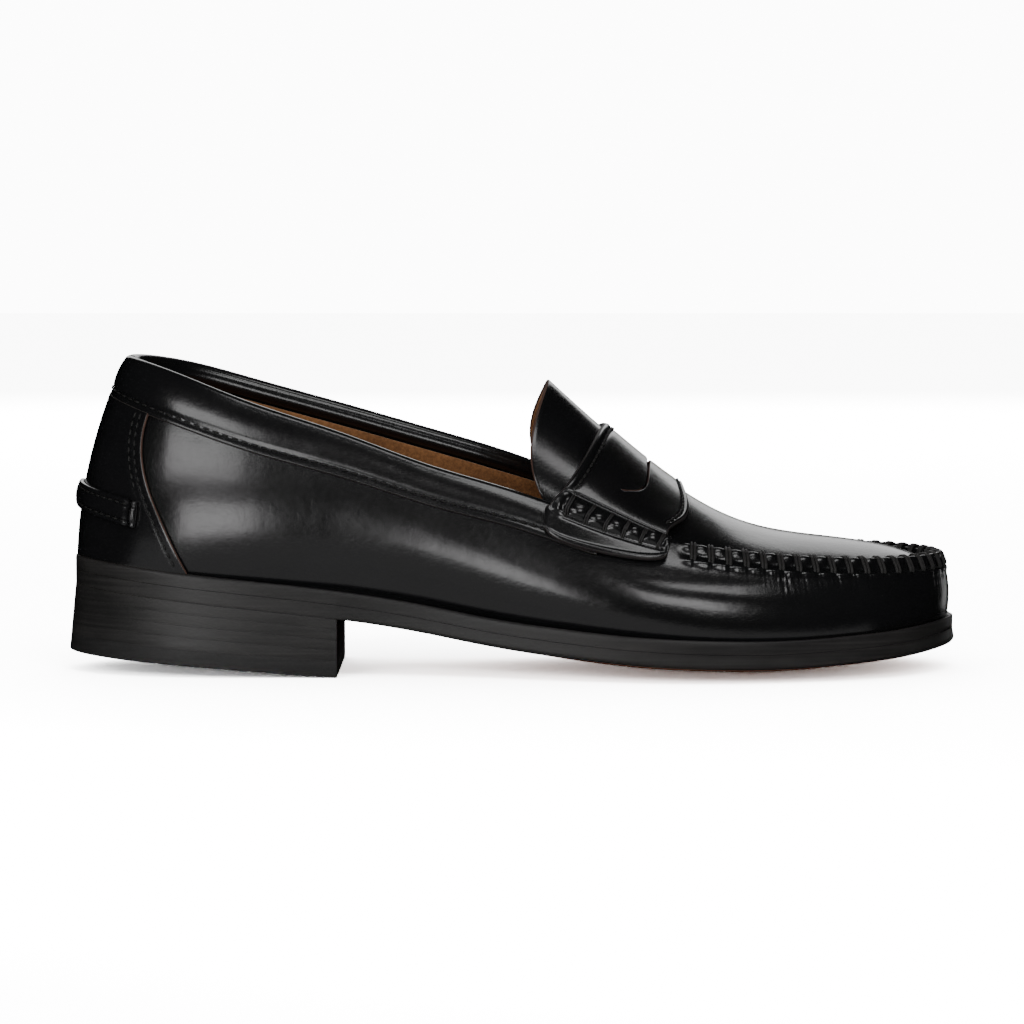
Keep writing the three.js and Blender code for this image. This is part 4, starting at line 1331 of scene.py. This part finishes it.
def heel_plate(name, node, slot, top, bottom, top_share, bottom_share, finish, soft=0.015):
    rings = []
    profile = ((0.0, 1.0), (0.0, soft), (soft, 0.0), (0.5, 0.0), (1 - soft, 0.0), (1.0, soft), (1.0, 1.0))
    for k, away in profile:
        share = top_share + (bottom_share - top_share) * k

        def height(x, k=k):
            thick = top(x) - bottom(x)
            drop = thick * (0.02 + 0.96 * k) if 0 < k < 1 else thick * k
            return top(x) - drop

        rings.append(heel_loop(share, away, height))
    rings = np.array(rings)
    ids, sides = belts(rings)
    faces = sides.reshape(-1, 4).tolist() + [ids[0].tolist(), ids[-1][::-1].tolist()]
    piece = mesh_piece(name, rings.reshape(-1, 3), faces, [finish], sharp=0.5)
    return finish_piece(piece, slot, node)


def heel_stack():
    def seat(x):
        return sole_line(x) - SOLE_THICKNESS - 0.02

    def foot(x):
        return heel_floor(x) + TOP_LIFT_THICKNESS

    for i in range(LIFT_COUNT):
        def top(x, share=i / LIFT_COUNT):
            return seat(x) + (foot(x) - seat(x)) * share - 0.01

        def bottom(x, share=(i + 1) / LIFT_COUNT):
            return seat(x) + (foot(x) - seat(x)) * share + 0.01

        shares = 0.75 * i / LIFT_COUNT, 0.75 * (i + 1) / LIFT_COUNT
        name, node = f"heel_lift_leather_{i + 1}", f"heel_lift_{i + 1}"
        heel_plate(name, node, "edge_black", top, bottom, *shares, EDGE)

    def lift_top(x):
        return foot(x) - 0.02

    heel_plate("top_lift_rubber", "top_lift", "rubber", lift_top, heel_floor, 0.75, 1.0, RUBBER, 0.05)


# ------------------------------------------------ sock and pad

def sock():
    u = closed_loop(240)
    set_back = swell_at(u)[:, 2] + LINING_DEPTH + LINING_LEATHER + 0.3
    profile = ((1.0, 5.8), (0.3, 5.75), (0.0, 5.4), (0.1, 4.95), (1.0, 4.9))
    rings = np.array([ring(u, set_back + inset, above_bed(lift)) for inset, lift in profile])
    piece = plate("sock_lining_leather", rings, 5.8, 4.9, [SOCK, SOCK, SOCK], across=16)
    return finish_piece(piece, "lining_leather", "sock_lining")


PAD_FRONT = 2.72
PAD_INSET = 7.5


def heel_pad():
    """A pad that rises to a soft dome behind and thins out in front."""
    columns = np.linspace(0, PAD_FRONT, 60)
    share = steps(0, 1, 30)[:, None]
    dome = np.minimum(1, 4.2 * share[:, 0] * (1 - share[:, 0])) ** 0.5

    def sheet(lift, rise):
        rows = []
        for station in columns:
            pair = (np.array(station), np.array(STATIONS - station))
            outer, inner = (edge_inset(u, swell_at(u)[2] + PAD_INSET) for u in pair)
            rib = outer + (inner - outer) * share
            front = 1 - smoothstep(station, 2.45, PAD_FRONT)
            rib[:, 2] = bed(rib[:, 0], rib[:, 1]) + (lift + rise * (dome * front))
            rows.append(rib)
        return np.array(rows)

    piece = shell("heel_pad_leather", sheet(6.0, 1.9), sheet(5.9, 0.0), SOCK)
    return finish_piece(piece, "lining_leather", "heel_pad")


# ------------------------------------------------ assembly

side_wall()
apron()
tongue_lining()
quarter_lining()
vamp_lining()
collar_band()
heel_foxing()
heel_tab()
penny_strap()
midsole()
outsole()
heel_stack()
sock()
heel_pad()

rows_of_stitches = stitch_tree(FINE_THREAD)
band_stitches(rows_of_stitches)
foxing_stitches(rows_of_stitches)
tab_stitches(rows_of_stitches)
strap_stitches(rows_of_stitches)

laid_thread = strand_tree(THREAD)
roll_stitches(laid_thread)
ridge_stitches(laid_thread)

CARRIED_OVER = {
    "heel_counter": BOARD, "toe_puff": BOARD, "insole_board": BOARD,
    "cork_filler": CORK, "steel_shank": STEEL,
}
CARRIED_OVER.update({f"heel_nail_{i + 1}": STEEL for i in range(5)})
for node, material in CARRIED_OVER.items():
    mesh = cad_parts[node].data
    mesh.materials.clear()
    mesh.materials.append(material)


# ------------------------------------------------ table, lights, camera

def table():
    mesh = bpy.data.meshes.new("table_top")
    corners = [(-6.0, -6.0, 0), (6.0, -6.0, 0), (6.0, 6.0, 0), (-6.0, 6.0, 0)]
    mesh.from_pydata(corners, [], [(0, 1, 2, 3)])
    mesh.materials.append(white_table("white_table"))
    top = bpy.data.objects.new("table_top", mesh)
    bpy.context.scene.collection.objects.link(top)
    top.visible_glossy = False


def panel(name, azimuth, elevation, away, size, radiance, aim=(0.0, 0.0, 0.05)):
    """A softbox facing a point of the shoe, azimuth 0 from the viewer's side, as bright as radiance says."""
    a, e = math.radians(azimuth), math.radians(elevation)
    place = Vector((math.sin(a) * math.cos(e), -math.cos(a) * math.cos(e), math.sin(e))) * away
    place = place + Vector(aim)
    light = bpy.data.lights.new(name, "AREA")
    light.shape = "RECTANGLE"
    light.size, light.size_y = size
    light.energy = radiance * math.pi * size[0] * size[1]
    lamp = bpy.data.objects.new(name, light)
    lamp.location = place
    lamp.rotation_euler = (Vector(aim) - place).to_track_quat("-Z", "Y").to_euler()
    lamp.visible_camera = False
    bpy.context.scene.collection.objects.link(lamp)


def studio():
    world = bpy.data.worlds.new("studio")
    world.use_nodes = True
    nodes, links = world.node_tree.nodes, world.node_tree.links
    backdrop = nodes["Background"]
    backdrop.inputs["Color"].default_value = (1, 1, 1, 1)
    seen = nodes.new("ShaderNodeLightPath")
    level = nodes.new("ShaderNodeMapRange")
    level.inputs["To Min"].default_value = 0.7
    level.inputs["To Max"].default_value = 12.0
    links.new(seen.outputs["Is Camera Ray"], level.inputs["Value"])
    links.new(level.outputs["Result"], backdrop.inputs["Strength"])
    world.cycles_visibility.glossy = False
    bpy.context.scene.world = world
    quarter, vamp = (-0.1, -0.035, 0.05), (0.055, -0.045, 0.04)
    panel("high_softbox", 15, 54, 1.5, (0.66, 0.4), 4.0)
    panel("front_softbox", 6, 19, 0.53, (0.22, 0.13), 4.8, vamp)
    panel("left_softbox", -26, 18.5, 0.41, (0.25, 0.11), 4.4, quarter)
    panel("low_softbox", -19, -6, 0.37, (0.18, 0.104), 4.8, quarter)
    panel("back_softbox", 180, 28, 2.0, (1.5, 1.25), 1.8)
    panel("right_softbox", 138, -2, 1.5, (0.3, 0.4), 0.7)
    panel("table_glow", 0, -42, 1.0, (3.0, 1.02), 0.4)


CAMERA_AWAY = 1.25
CAMERA_HEIGHT = 0.145
CAMERA_AIM = 0.0527
LENS = 130.0


def camera():
    data = bpy.data.cameras.new("camera")
    data.lens = LENS
    data.sensor_width = 36.0
    data.clip_end = 50
    eye = bpy.data.objects.new("camera", data)
    eye.location = (0.0, SHIFT[1] * MM - CAMERA_AWAY, CAMERA_HEIGHT)
    aim = Vector((0.0, SHIFT[1] * MM, CAMERA_AIM))
    eye.rotation_euler = (aim - eye.location).to_track_quat("-Z", "Y").to_euler()
    bpy.context.scene.collection.objects.link(eye)
    bpy.context.scene.camera = eye


table()
studio()
camera()
